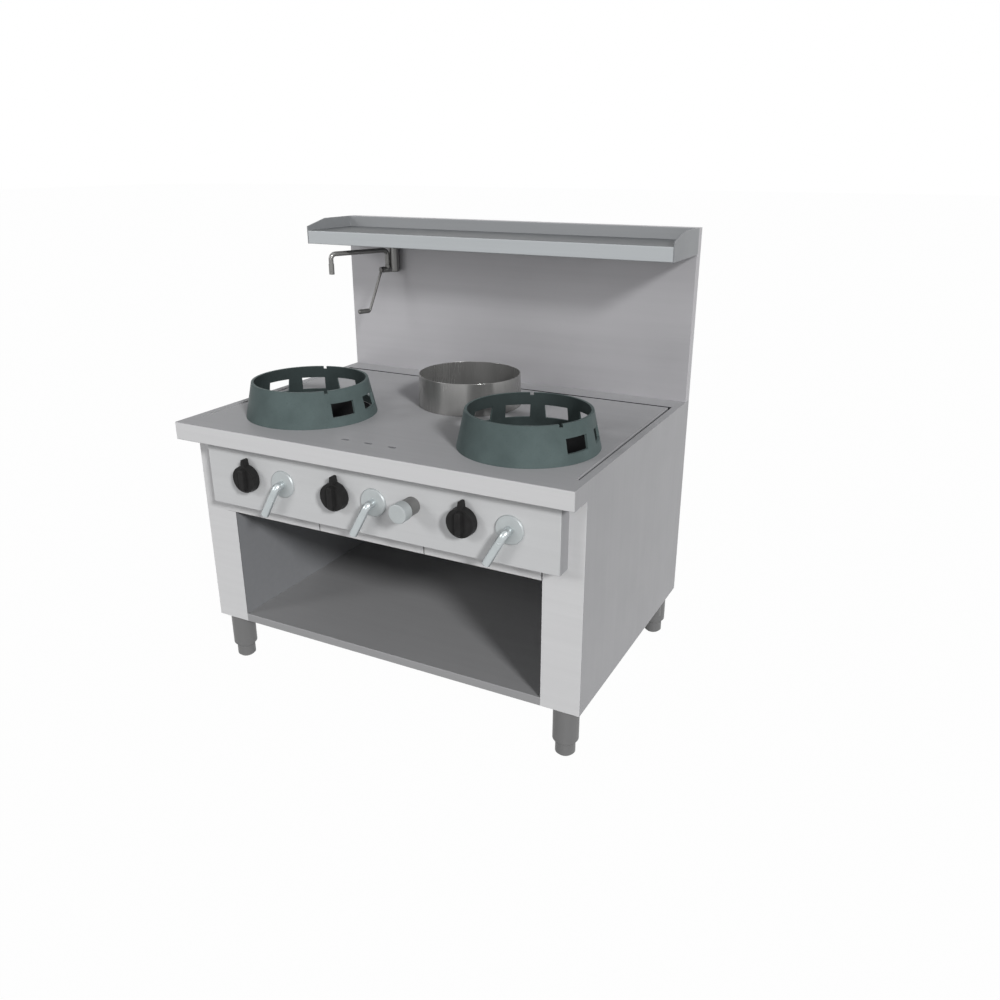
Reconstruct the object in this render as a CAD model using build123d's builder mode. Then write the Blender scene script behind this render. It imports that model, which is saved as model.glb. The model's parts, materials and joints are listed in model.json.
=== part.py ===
"""A free-standing gas wok range: two wok burners in front, a pot burner behind them,
an open cabinet on four levelling feet, a backsplash with a shelf and a swivel faucet.

Sizes are in millimetres. X runs along the width, +Y to the rear and +Z up. The origin is
on the floor, at the centre of the range's outer box.
"""

import os
from math import atan2, cos, degrees, radians, sin

from build123d import *

os.makedirs("parts", exist_ok=True)

# ---------------------------------------------------------------- driving sizes

# outer body
range_width = 1200.0
body_depth = 885.0  # front of the worktop to the rear face
deck_height = 782.0  # floor to the worktop's top
base_height = 147.0  # floor to the cabinet's underside
sheet = 2.0  # body panels
deck_sheet = 3.0  # worktop
fit_gap = 0.3  # between pieces that pass or turn on each other
running_gap = 0.05  # radial, a shaft in its bore
hole_gap = 1.0  # radial, a pipe or bolt through a sheet

# cabinet
post_width = 110.0
post_setback = 78.0  # worktop's front to the posts' face
fascia_height = 50.0
floor_lip = 24.0
service_recess = 50.0  # rear panel to the rear face
inner_wall_drop = 150.0  # deck to the inner walls' top

# backsplash and shelf
backsplash_height = 500.0
backsplash_depth = 30.0
shelf_depth = 224.0  # in front of the backsplash
shelf_drop = 33.0  # backsplash top to the shelf
shelf_lip = 40.0
shelf_hem = 15.0
gusset_thickness = 4.0
gusset_nose = 53.0  # height of the gusset's front edge
gusset_slope = 91.0  # run of the gusset's slanted edge

# deck: gutter, rinse slots
gutter_width = 9.0
gutter_depth = 9.0
gutter_inset = 25.0  # range side to the side gutters
gutter_rear = 110.0  # rear face to the rear gutter
gutter_front = 74.0  # worktop's front to the side gutters' ends
rinse_x = -8.0
rinse_from_front = 82.0
rinse_pitch = 72.5
rinse_slot = 25.0
rinse_slot_width = 9.0
rinse_count = 3
rinse_box_margin = 20.0
rinse_box_depth = 25.0
drain_radius = 15.0
drain_bore = 13.0
drain_drop = 50.0  # below the cabinet
drain_spigot_radius = 16.0
drain_spigot_length = 45.0
drain_hole = 3.5

# control panel
panel_setback = 30.0  # worktop's front to the panel's face
panel_from_left = 82.0  # range side to the panel's end
panel_from_right = 44.0
panel_height = 181.0
panel_hem = 20.0
control_drop = 135.0  # deck to the knobs' axes
lever_lift = -1.0  # levers' axes above the knobs'
knob_x = {"left": -374.0, "centre": -77.0, "right": 302.0}
lever_x = {"left": -258.0, "centre": 36.0, "right": 425.0}

# knobs
knob_radius = 39.0
knob_disc = 22.0
knob_depth = 32.0
knob_standoff = 5.0
knob_push = 4.0
knob_nib = 17.0
knob_nib_width = 16.0
knob_grip_width = 20.0
knob_rounding = 2.5
stem_radius = 5.0
stem_grip = 14.0  # length of the stem inside the knob
panel_hole = 8.0

# levers
lever_radius = 11.0
lever_reach = 21.0  # rosette to the arm's axis
lever_arm = 92.0  # spindle to the centre of the round end
lever_tilt = 29.5  # degrees from hanging straight, to the left
lever_bend = 14.0
lever_rounding = 10.0
rosette_radius = 38.0
rosette_thickness = 6.0

# gas line
manifold_radius = 12.0
gas_inlet_radius = 13.3
gas_inlet_length = 28.0
manifold_setback = 110.0  # worktop's front to the manifold
manifold_drop = 190.0  # deck to the manifold
manifold_end = 26.0  # plugged end past the first valve
manifold_boss = 20.0
boss_radius = 14.0
gas_run_inset = 70.0  # range side to the supply run
gas_bend = 32.0
valve_barrel = 15.0
valve_leg = 11.0
valve_nut = 20.0
valve_nut_depth = 8.0
injector_radius = 7.0
injector_length = 14.0

# burners
wok_x = {"left": -325.0, "right": 364.0}
wok_from_front = 257.0
pot_x = 30.0
pot_from_front = 551.0
well_depth = 98.0
well_sheet = 2.0
well_flange = 14.0
wok_well_top = 156.0
wok_well_bottom = 120.0
pot_well_top = 130.0
pot_well_bottom = 104.0
burner_radius = 58.0
burner_height = 58.0
burner_wall = 10.0
head_radius = 80.0
head_rise = 54.0
head_flare = 36.0
head_dish = 12.0
head_spigot = 6.0
head_crown = 18.0
port_radius = 2.6
port_depth = 7.0
outer_ports = 16
outer_port_circle = 69.0
inner_ports = 8
inner_port_circle = 36.0
mixer_radius = 16.0
mixer_bend = 36.0
mixer_wall = 3.0
bell_radius = 24.0
bell_length = 20.0
bell_gap = 5.0
rail_width = 40.0
rail_height = 28.0
rail_wall = 3.0
pilot_radius = 3.0
pilot_head = 6.5
pilot_bend = 14.0
pilot_out = 92.0  # burner axis to the pilot
pilot_side = 30.0  # degrees, the furthest a pilot lies to the front of its burner's left
pilot_below_head = 6.0

# wok rings and pot ring
wok_ring_base = 185.0
wok_ring_top = 163.5
wok_ring_height = 98.0
wok_ring_wall = 7.5
window_azimuths = (-22.0, 15.0, 52.0, 89.0, 126.0, 163.0)
window_width = 70.0
window_height = 37.0
window_sill = 26.0
window_corner = 4.0
notch_azimuths = (-37.0, 112.7)
notch_width = 10.0
notch_depth = 8.0
pot_ring_base = 153.0
pot_ring_top = 150.0
pot_ring_height = 93.0
pot_ring_wall = 2.5

# drip trays
tray_gap = 3.5
tray_post_lap = 26.0  # the left front laps over the left post
tray_edge_gap = 2.0  # the right front stops short of the right post
tray_front_sheet = 4.0
tray_front_height = 43.5
tray_sheet = 1.5
tray_length = 640.0
tray_top_gap = 1.0
tray_side_gap = 2.0
runner_leg = 14.0

# water
tap_x = 153.0
tap_drop = 123.0  # deck to the tap's axis
tap_length = 70.0  # panel to the tap's front
tap_body = 23.0
tap_body_length = 35.0
tap_neck = 19.0
tap_neck_length = 3.0
tap_head_radius = 25.5
tap_rounding = 3.0
tap_stem = 6.0
tap_engagement = 26.0
water_radius = 7.5
water_bend = 22.0
water_run_x = -132.0
water_run_drop = 50.0  # deck to the pipe under it
water_run_setback = 112.0  # worktop's front to the pipe behind the panel
feed_setback = 88.0  # worktop's front to the rinse feed
water_inlet_height = 330.0
water_inlet_radius = 10.5
water_inlet_length = 30.0
water_boss = 10.0
water_boss_rise = 23.0

# faucet
faucet_from_side = 188.0  # range side to the column's axis
faucet_stand = 20.0  # backsplash to the column's axis
faucet_turn = 21.5  # degrees to the left of straight forward
column_radius = 17.0
column_rise = 10.0  # spout to the column's top
column_dome = 5.0
hub_drop = 62.0  # spout to the valve hub's axis
hub_radius = 9.5
hub_length = 47.0
tail_radius = 9.0
riser_out = 26.0
spout_radius = 7.5
spout_under_shelf = 67.0  # shelf's top to the spout's axis
spout_length = 214.0
spout_bend = 16.0
spout_drop = 48.0
nozzle_radius = 8.5
nozzle_length = 34.0
seat_rise = 6.0
seat_radius = 8.8
crank_radius = 4.5
crank_lean = 50.0
crank_drop = 127.0
crank_grip = 45.0
crank_grip_radius = 7.5
crank_hub = 8.0

# legs
leg_radius = 35.0
leg_wall = 2.0
leg_from_side = 52.0
front_leg_setback = 38.5  # posts' face to the front legs' axes
rear_leg_inset = 36.0  # rear face to the rear legs' axes
leg_plate = 6.0
leg_plug = 12.0
foot_radius = 27.0
foot_height = 44.0
foot_chamfer = 6.0
foot_spindle = 8.0
foot_spindle_length = 52.0
bolt_radius = 4.0
bolt_head = 6.5
bolt_head_height = 5.3
bolt_length = 12.0

# ---------------------------------------------------------------- derived places

tap_reach = tap_length - panel_setback
rear_y = (body_depth + tap_reach) / 2
front_y = rear_y - body_depth
post_y = front_y + post_setback
panel_y = front_y + panel_setback
splash_y = rear_y - backsplash_depth
rear_panel_y = rear_y - service_recess
half_width = range_width / 2
bay_half = half_width - post_width

deck_bottom = deck_height - deck_sheet
fascia_bottom = deck_height - fascia_height
gutter_bottom = deck_height - gutter_depth - sheet
floor_top = base_height + floor_lip
wall_top = deck_height - inner_wall_drop
splash_top = deck_height + backsplash_height
shelf_top = splash_top - shelf_drop
panel_bottom = fascia_bottom - panel_height
panel_left = panel_from_left - half_width
panel_right = half_width - panel_from_right
tray_top = panel_bottom - tray_top_gap
bay_top = tray_top - tray_front_height
knob_z = deck_height - control_drop
lever_z = knob_z + lever_lift
tap_z = deck_height - tap_drop

manifold_y = front_y + manifold_setback
manifold_z = deck_height - manifold_drop
boss_top = manifold_z + manifold_boss
valve_rear = manifold_y + boss_radius
gas_run_x = half_width - gas_run_inset
injector_tip = valve_rear + injector_length
gas_inlet_y = rear_panel_y + sheet + gas_inlet_length

burner_at = {
    "left": (wok_x["left"], front_y + wok_from_front),
    "centre": (pot_x, front_y + pot_from_front),
    "right": (wok_x["right"], front_y + wok_from_front),
}
well_top = {"left": wok_well_top, "centre": pot_well_top, "right": wok_well_top}
well_foot = {"left": wok_well_bottom, "centre": pot_well_bottom, "right": wok_well_bottom}
well_bottom = deck_height - well_depth
well_hole = burner_radius + 2 * hole_gap
burner_bottom = well_bottom - burner_height + well_sheet + hole_gap
burner_top = burner_bottom + burner_height
head_top = burner_top + head_rise
rail_bottom = burner_bottom - rail_height

gutter_side_x = half_width - gutter_inset
gutter_rear_y = rear_y - gutter_rear
gutter_front_y = front_y + gutter_front
rinse_y = front_y + rinse_from_front
drain_bottom = base_height - drain_drop
leg_bottom = foot_height
leg_y = {"front": post_y + front_leg_setback, "rear": rear_y - rear_leg_inset}

faucet_x = faucet_from_side - half_width
faucet_y = splash_y - faucet_stand
spout_height = shelf_top - spout_under_shelf
hub_height = spout_height - hub_drop
column_top = spout_height + column_rise
toward = (-sin(radians(faucet_turn)), -cos(radians(faucet_turn)))
riser_at = (faucet_x + riser_out * toward[0], faucet_y + riser_out * toward[1])
hub_end = (faucet_x + hub_length * toward[0], faucet_y + hub_length * toward[1])
water_riser_y = splash_y + sheet + water_radius + fit_gap
water_run_z = deck_height - water_run_drop


# ---------------------------------------------------------------- shared forms


def block(x, y, z, mode=Mode.ADD):
    """A box between the two values given for each of x, y and z."""
    with Locations(((x[0] + x[1]) / 2, (y[0] + y[1]) / 2, (z[0] + z[1]) / 2)):
        Box(x[1] - x[0], y[1] - y[0], z[1] - z[0], mode=mode)


def rod(start, end, radius, mode=Mode.ADD):
    """A round bar, or with Mode.SUBTRACT a round hole, from start to end."""
    along = Vector(*end) - Vector(*start)
    with BuildSketch(Plane(origin=start, z_dir=along)) as section:
        Circle(radius)
    extrude(section.sketch, amount=along.length, dir=along.normalized(), mode=mode)


def pipe(points, bend, radius):
    """A round bar along straight runs that are joined by arcs of one bend radius."""
    with BuildLine(mode=Mode.PRIVATE) as route:
        FilletPolyline(*points, radius=bend)
    first_run = Vector(*points[1]) - Vector(*points[0])
    with BuildSketch(Plane(origin=points[0], z_dir=first_run)) as section:
        Circle(radius)
    sweep(section.sketch, path=route.wires()[0])


def upright(x, y):
    """The plane of a turned profile whose axis stands at x, y."""
    return Plane(origin=(x, y, 0), x_dir=(1, 0, 0), z_dir=(0, -1, 0))


def facing_front(x, y, z):
    """A plane that looks to the front, with its own y axis pointing up."""
    return Plane(origin=(x, y, z), x_dir=(1, 0, 0), z_dir=(0, -1, 0))


def save(piece, name):
    """Name the finished piece and write it."""
    piece.part.label = name
    export_step(piece.part, f"parts/{name}.step")


# ---------------------------------------------------------------- cabinet

for name, side in (("left", -1), ("right", 1)):
    outer = (side * half_width, side * (half_width - sheet))
    post = (side * half_width, side * bay_half)
    leg_x = side * (half_width - leg_from_side)
    with BuildPart() as side_panel:
        block(sorted(outer), (post_y, rear_y), (base_height, deck_bottom))
        block(sorted(post), (post_y, post_y + sheet), (base_height, gutter_bottom - hole_gap))
        block(sorted(post), (post_y, rear_y), (base_height, base_height + sheet))
        for y in leg_y.values():
            rod(
                (leg_x, y, base_height - sheet),
                (leg_x, y, base_height + 2 * sheet),
                bolt_radius + running_gap,
                Mode.SUBTRACT,
            )
        if side > 0:
            rod(
                (gutter_side_x, gutter_rear_y, base_height - sheet),
                (gutter_side_x, gutter_rear_y, base_height + 2 * sheet),
                drain_radius + running_gap,
                Mode.SUBTRACT,
            )
    save(side_panel, f"side_panel_{name}")

    wall = (side * bay_half, side * (bay_half + sheet))
    with BuildPart() as inner_wall:
        block(sorted(wall), (post_y + sheet, rear_panel_y), (base_height + sheet, wall_top))
        if side > 0:
            rod(
                (bay_half - sheet, manifold_y, manifold_z),
                (bay_half + 2 * sheet, manifold_y, manifold_z),
                manifold_radius + running_gap,
                Mode.SUBTRACT,
            )
    save(inner_wall, f"inner_wall_{name}")

with BuildPart() as cabinet_floor:
    block((-bay_half, bay_half), (post_y, rear_panel_y), (base_height, floor_top))
    block(
        (-bay_half, bay_half),
        (post_y + sheet, rear_panel_y - sheet),
        (base_height, floor_top - sheet),
        Mode.SUBTRACT,
    )
save(cabinet_floor, "cabinet_floor")

with BuildPart() as rear_panel:
    block(
        (sheet - half_width, half_width - sheet),
        (rear_panel_y, rear_panel_y + sheet),
        (base_height + sheet, deck_bottom),
    )
    for x, z, radius in (
        (gas_run_x, manifold_z, manifold_radius),
        (water_run_x, water_run_z, water_radius),
    ):
        rod(
            (x, rear_panel_y - sheet, z),
            (x, rear_panel_y + 2 * sheet, z),
            radius + running_gap,
            Mode.SUBTRACT,
        )
save(rear_panel, "rear_panel")

# ---------------------------------------------------------------- worktop

with BuildPart() as worktop:
    block((-half_width, half_width), (front_y, rear_y), (deck_bottom, deck_height))
    # the front edge is folded down, back to the posts, and closed at both ends
    block((-half_width, half_width), (front_y, post_y), (fascia_bottom, deck_bottom))
    block(
        (deck_sheet - half_width, half_width - deck_sheet),
        (front_y + deck_sheet, post_y),
        (fascia_bottom + deck_sheet, deck_bottom),
        Mode.SUBTRACT,
    )
    # the gutter is pressed down along the rear and both sides
    reach = gutter_width / 2
    skirt = reach + sheet
    trough = (gutter_bottom, deck_bottom)
    groove = (gutter_bottom + sheet, deck_height)
    side_x = (-gutter_side_x, gutter_side_x)
    rear_trough = (gutter_rear_y - skirt, gutter_rear_y + skirt)
    block((side_x[0] - skirt, side_x[1] + skirt), rear_trough, trough)
    for x in side_x:
        block((x - skirt, x + skirt), (gutter_front_y - sheet, gutter_rear_y), trough)
    for x in side_x:
        block((x - reach, x + reach), (gutter_front_y, gutter_rear_y), groove, Mode.SUBTRACT)
    rear_groove = (gutter_rear_y - reach, gutter_rear_y + reach)
    block((side_x[0] - reach, side_x[1] + reach), rear_groove, groove, Mode.SUBTRACT)
    rod(
        (gutter_side_x, gutter_rear_y, gutter_bottom - sheet),
        (gutter_side_x, gutter_rear_y, deck_bottom),
        drain_hole,
        Mode.SUBTRACT,
    )
    for name, (x, y) in burner_at.items():
        opening = well_top[name] + hole_gap
        rod((x, y, deck_bottom - sheet), (x, y, deck_height + sheet), opening, Mode.SUBTRACT)
    with BuildSketch(Plane.XY.offset(deck_bottom)):
        with Locations((rinse_x, rinse_y)):
            with GridLocations(rinse_pitch, 1, rinse_count, 1):
                SlotOverall(rinse_slot, rinse_slot_width)
    extrude(amount=deck_sheet, mode=Mode.SUBTRACT)
    rod(
        (faucet_x, water_riser_y, deck_bottom - sheet),
        (faucet_x, water_riser_y, deck_height + sheet),
        water_radius + hole_gap,
        Mode.SUBTRACT,
    )
    for side in (-1, 1):
        for x in (side * bay_half, side * bay_half / 2):
            rod(
                (x, splash_y + backsplash_depth / 2, deck_bottom - sheet),
                (x, splash_y + backsplash_depth / 2, deck_height + sheet),
                bolt_radius + running_gap,
                Mode.SUBTRACT,
            )
save(worktop, "worktop")

# ---------------------------------------------------------------- backsplash and shelf

with BuildPart() as backsplash:
    block((-half_width, half_width), (splash_y, rear_y), (deck_height, splash_top))
    block(
        (sheet - half_width, half_width - sheet),
        (splash_y + sheet, rear_y),
        (deck_height + sheet, splash_top - sheet),
        Mode.SUBTRACT,
    )
    rod(
        (faucet_x, splash_y - sheet, hub_height),
        (faucet_x, splash_y + 2 * sheet, hub_height),
        tail_radius + running_gap,
        Mode.SUBTRACT,
    )
    rod(
        (faucet_x, water_riser_y, deck_height - sheet),
        (faucet_x, water_riser_y, deck_height + 2 * sheet),
        water_radius + hole_gap,
        Mode.SUBTRACT,
    )
    for side in (-1, 1):
        for x in (side * bay_half, side * bay_half / 2):
            rod(
                (x, splash_y + backsplash_depth / 2, deck_height - sheet),
                (x, splash_y + backsplash_depth / 2, deck_height + 2 * sheet),
                bolt_radius + running_gap,
                Mode.SUBTRACT,
            )
save(backsplash, "backsplash")

shelf_half = half_width - gusset_thickness
shelf_y = splash_y - shelf_depth
with BuildPart() as shelf:
    block((-shelf_half, shelf_half), (shelf_y, splash_y), (shelf_top - shelf_lip, shelf_top))
    block(
        (-shelf_half, shelf_half),
        (shelf_y + sheet, splash_y - sheet),
        (shelf_top - shelf_lip + sheet, shelf_top - sheet),
        Mode.SUBTRACT,
    )
    block(
        (-shelf_half, shelf_half),
        (shelf_y + shelf_hem, splash_y - shelf_hem),
        (shelf_top - shelf_lip, shelf_top - shelf_lip + sheet),
        Mode.SUBTRACT,
    )
save(shelf, "shelf")

gusset_bottom = shelf_top - shelf_lip
with BuildPart() as shelf_gussets:
    for x in (-half_width, shelf_half):
        with BuildSketch(Plane.YZ.offset(x)):
            with BuildLine():
                Polyline(
                    (shelf_y, gusset_bottom),
                    (shelf_y, gusset_bottom + gusset_nose),
                    (shelf_y + gusset_slope, splash_top),
                    (splash_y, splash_top),
                    (splash_y, gusset_bottom),
                    close=True,
                )
            make_face()
        extrude(amount=gusset_thickness)
save(shelf_gussets, "shelf_gussets")

# ---------------------------------------------------------------- control panel

with BuildPart() as control_panel:
    block((panel_left, panel_right), (panel_y, post_y), (panel_bottom, fascia_bottom))
    block(
        (panel_left + sheet, panel_right - sheet),
        (panel_y + sheet, post_y),
        (panel_bottom + sheet, fascia_bottom - sheet),
        Mode.SUBTRACT,
    )
    block(
        (panel_left + sheet, panel_right - sheet),
        (panel_y + panel_hem, post_y),
        (panel_bottom, fascia_bottom),
        Mode.SUBTRACT,
    )
    for x in knob_x.values():
        rod((x, panel_y - sheet, knob_z), (x, panel_y + 2 * sheet, knob_z), panel_hole, Mode.SUBTRACT)
    for x in lever_x.values():
        rod((x, panel_y - sheet, lever_z), (x, panel_y + 2 * sheet, lever_z), panel_hole, Mode.SUBTRACT)
    rod(
        (tap_x, panel_y - sheet, tap_z),
        (tap_x, panel_y + 2 * sheet, tap_z),
        valve_barrel + running_gap,
        Mode.SUBTRACT,
    )
save(control_panel, "control_panel")

# ---------------------------------------------------------------- gas line

with BuildPart() as gas_manifold:
    pipe(
        [
            (knob_x["left"] - manifold_end, manifold_y, manifold_z),
            (gas_run_x, manifold_y, manifold_z),
            (gas_run_x, gas_inlet_y, manifold_z),
        ],
        gas_bend,
        manifold_radius,
    )
    for x in (*knob_x.values(), *lever_x.values()):
        rod((x, manifold_y, manifold_z), (x, manifold_y, boss_top), boss_radius)
    rod(
        (gas_run_x, gas_inlet_y - gas_inlet_length, manifold_z),
        (gas_run_x, gas_inlet_y, manifold_z),
        gas_inlet_radius,
    )
    rod(
        (gas_run_x, gas_inlet_y - gas_inlet_length, manifold_z),
        (gas_run_x, gas_inlet_y, manifold_z),
        manifold_radius - sheet,
        Mode.SUBTRACT,
    )
save(gas_manifold, "gas_manifold")

spindle_end = panel_y + manifold_setback - panel_setback - boss_radius
for name in knob_x:
    for kind, x, z in (("gas_tap", knob_x[name], knob_z), ("lever_valve", lever_x[name], lever_z)):
        with BuildPart() as valve:
            rod((x, panel_y + sheet, z), (x, valve_rear, z), valve_barrel)
            with BuildSketch(facing_front(x, panel_y + sheet + valve_nut_depth, z)):
                RegularPolygon(valve_nut, 6)
            extrude(amount=valve_nut_depth)
            rod((x, manifold_y, boss_top), (x, manifold_y, z), valve_leg)
            if kind == "lever_valve":
                rod((x, valve_rear, z), (x, injector_tip, z), injector_radius)
            rod((x, panel_y, z), (x, spindle_end + fit_gap, z), stem_radius + running_gap, Mode.SUBTRACT)
        save(valve, f"{kind}_{name}")

# ---------------------------------------------------------------- knobs and levers

knob_back = panel_y - knob_standoff
grip_depth = knob_depth - knob_disc
for name, x in knob_x.items():
    with BuildPart() as tap_spindle:
        rod((x, knob_back - stem_grip, knob_z), (x, spindle_end, knob_z), stem_radius)
    save(tap_spindle, f"tap_spindle_{name}")

    with BuildPart() as knob:
        with BuildSketch(facing_front(x, knob_back, knob_z)):
            Circle(knob_radius)
            with BuildLine():
                Polyline(
                    (-knob_nib_width / 2, knob_radius - knob_nib / 2),
                    (-knob_nib_width / 4, knob_radius + knob_nib),
                    (knob_nib_width / 4, knob_radius + knob_nib),
                    (knob_nib_width / 2, knob_radius - knob_nib / 2),
                    close=True,
                )
            make_face()
        extrude(amount=knob_disc)
        fillet(knob.faces().sort_by(Axis.Y)[0].edges(), knob_rounding)
        with BuildSketch(facing_front(x, knob_back - knob_disc, knob_z)):
            SlotOverall(2 * knob_radius - knob_disc / 2, knob_grip_width, rotation=90)
        extrude(amount=grip_depth)
        front_rim = knob.faces().sort_by(Axis.Y)[0].edges()
        fillet(front_rim, grip_depth / 5)
        rod(
            (x, knob_back, knob_z),
            (x, knob_back - stem_grip - knob_push - fit_gap, knob_z),
            stem_radius + running_gap,
            Mode.SUBTRACT,
        )
    save(knob, f"knob_{name}")

with BuildPart() as lever_rosettes:
    for x in lever_x.values():
        with BuildSketch(facing_front(x, panel_y, lever_z)):
            Circle(rosette_radius)
            Circle(stem_radius + fit_gap, mode=Mode.SUBTRACT)
        extrude(amount=rosette_thickness)
    rims = lever_rosettes.edges().filter_by(GeomType.CIRCLE).group_by(Axis.Y)[0]
    chamfer(rims.filter_by(lambda rim: rim.radius > rosette_radius / 2), rosette_thickness / 4)
save(lever_rosettes, "lever_rosettes")

lever_back = panel_y - rosette_thickness - fit_gap
lever_front = panel_y - rosette_thickness - lever_reach
for name, x in lever_x.items():
    reach = lever_arm + lever_radius
    tip = (
        x - reach * sin(radians(lever_tilt)),
        lever_front,
        lever_z - reach * cos(radians(lever_tilt)),
    )
    with BuildPart() as gas_lever:
        pipe([(x, lever_back, lever_z), (x, lever_front, lever_z), tip], lever_bend, lever_radius)
        fillet(gas_lever.edges().sort_by(Axis.Z)[0], lever_rounding)
        rod((x, lever_back, lever_z), (x, spindle_end, lever_z), stem_radius)
    save(gas_lever, f"gas_lever_{name}")

# ---------------------------------------------------------------- burners

pilot_at = {}
for name, (x, y) in burner_at.items():
    to_left = max(knob_x[name] - x, -pilot_out * cos(radians(pilot_side)))
    pilot_at[name] = (x + to_left, y - (pilot_out**2 - to_left**2) ** 0.5)

for name, (x, y) in burner_at.items():
    top = well_top[name]
    narrow = well_foot[name]
    with BuildPart() as burner_well:
        with BuildSketch(upright(x, y)):
            with BuildLine():
                Polyline(
                    (well_hole, well_bottom),
                    (narrow, well_bottom),
                    (top, deck_height),
                    (top + well_flange, deck_height),
                    (top + well_flange, deck_height + well_sheet),
                    (top - well_sheet, deck_height + well_sheet),
                    (narrow - well_sheet, well_bottom + well_sheet),
                    (well_hole, well_bottom + well_sheet),
                    close=True,
                )
            make_face()
        revolve(axis=Axis((x, y, 0), (0, 0, 1)))
        rod(
            (*pilot_at[name], well_bottom - well_sheet),
            (*pilot_at[name], well_bottom + 2 * well_sheet),
            pilot_radius + running_gap,
            Mode.SUBTRACT,
        )
    save(burner_well, f"burner_well_{name}")

bell_mouth = injector_tip + bell_gap
bell_angle = degrees(atan2(bell_radius - mixer_radius, bell_length))
for name, (x, y) in burner_at.items():
    inlet_x = lever_x[name]
    with BuildPart() as burner:
        rod((x, y, burner_bottom), (x, y, burner_top), burner_radius)
        if abs(inlet_x - x) > mixer_bend:
            corner = (inlet_x, y, lever_z)
            pipe([(inlet_x, bell_mouth, lever_z), corner, (x, y, lever_z)], mixer_bend, mixer_radius)
        else:
            rod((inlet_x, bell_mouth, lever_z), (inlet_x, y, lever_z), mixer_radius)
        with BuildSketch(Plane(origin=(inlet_x, bell_mouth, lever_z), z_dir=(0, 1, 0))):
            Circle(bell_radius)
        extrude(amount=bell_length, taper=bell_angle)
        rod(
            (inlet_x, bell_mouth, lever_z),
            (inlet_x, bell_mouth + 2 * bell_length, lever_z),
            mixer_radius - mixer_wall,
            Mode.SUBTRACT,
        )
        rod(
            (x, y, burner_bottom + burner_wall),
            (x, y, burner_top),
            burner_radius - burner_wall,
            Mode.SUBTRACT,
        )
    save(burner, f"burner_{name}")

spigot = burner_radius - burner_wall - running_gap
with BuildPart() as burner_heads:
    for x, y in burner_at.values():
        with BuildSketch(upright(x, y)) as section:
            with BuildLine():
                Polyline(
                    (0, burner_top - head_spigot),
                    (spigot, burner_top - head_spigot),
                    (spigot, burner_top),
                    (burner_radius, burner_top),
                    (head_radius, burner_top + head_flare),
                    (head_radius, head_top),
                    (burner_radius, head_top),
                    (burner_radius - head_dish, head_top - head_dish),
                    (head_crown + head_dish / 2, head_top - head_dish),
                    (head_crown, head_top),
                    (0, head_top),
                    close=True,
                )
            make_face()
        revolve(axis=Axis((x, y, 0), (0, 0, 1)))
        with BuildSketch(Plane((x, y, head_top))):
            with PolarLocations(outer_port_circle, outer_ports):
                Circle(port_radius)
        extrude(amount=-port_depth, mode=Mode.SUBTRACT)
        with BuildSketch(Plane((x, y, head_top - head_dish))):
            with PolarLocations(inner_port_circle, inner_ports):
                Circle(port_radius)
        extrude(amount=-port_depth, mode=Mode.SUBTRACT)
save(burner_heads, "burner_heads")

rail_places = sorted({place[1] for place in burner_at.values()})
with BuildPart() as burner_rails:
    for y in rail_places:
        edges_y = (y - rail_width / 2, y + rail_width / 2)
        block((-bay_half, bay_half), edges_y, (rail_bottom, burner_bottom))
        block(
            (-bay_half, bay_half),
            (edges_y[0] + rail_wall, edges_y[1] - rail_wall),
            (rail_bottom, burner_bottom - rail_wall),
            Mode.SUBTRACT,
        )
save(burner_rails, "burner_rails")

with BuildPart() as pilot_burners:
    for name, (x, y) in pilot_at.items():
        start = (knob_x[name], valve_rear, knob_z)
        corners = [(x, y, knob_z)]
        aside = abs(x - knob_x[name])
        if aside > pilot_bend:
            corners.insert(0, (knob_x[name], y - aside, knob_z))
        pilot_top = head_top - pilot_below_head
        pipe([start, *corners, (x, y, pilot_top)], pilot_bend, pilot_radius)
        well_floor = well_bottom + well_sheet
        rod((x, y, well_floor), (x, y, well_floor + pilot_head), pilot_head)
        rod((x, y, pilot_top - 2 * pilot_head), (x, y, pilot_top), pilot_head)
save(pilot_burners, "pilot_burners")

# ---------------------------------------------------------------- wok rings and pot ring

for name in ("left", "right"):
    x, y = burner_at[name]
    with BuildPart() as wok_ring:
        with BuildSketch(upright(x, y)):
            with BuildLine():
                Polyline(
                    (wok_ring_base - wok_ring_wall, deck_height),
                    (wok_ring_base, deck_height),
                    (wok_ring_top, deck_height + wok_ring_height),
                    (wok_ring_top - wok_ring_wall, deck_height + wok_ring_height),
                    close=True,
                )
            make_face()
        revolve(axis=Axis((x, y, 0), (0, 0, 1)))
        for azimuth in window_azimuths:
            outward = (cos(radians(azimuth)), sin(radians(azimuth)), 0)
            along = (-sin(radians(azimuth)), cos(radians(azimuth)), 0)
            middle = (x, y, deck_height + window_sill + window_height / 2)
            with BuildSketch(Plane(origin=middle, x_dir=along, z_dir=outward)):
                RectangleRounded(window_width, window_height, window_corner)
            extrude(amount=wok_ring_base, mode=Mode.SUBTRACT)
        for azimuth in notch_azimuths:
            outward = (cos(radians(azimuth)), sin(radians(azimuth)), 0)
            along = (-sin(radians(azimuth)), cos(radians(azimuth)), 0)
            middle = (x, y, deck_height + wok_ring_height)
            with BuildSketch(Plane(origin=middle, x_dir=along, z_dir=outward)):
                Rectangle(notch_width, 2 * notch_depth)
            extrude(amount=wok_ring_base, mode=Mode.SUBTRACT)
    save(wok_ring, f"wok_ring_{name}")

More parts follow.
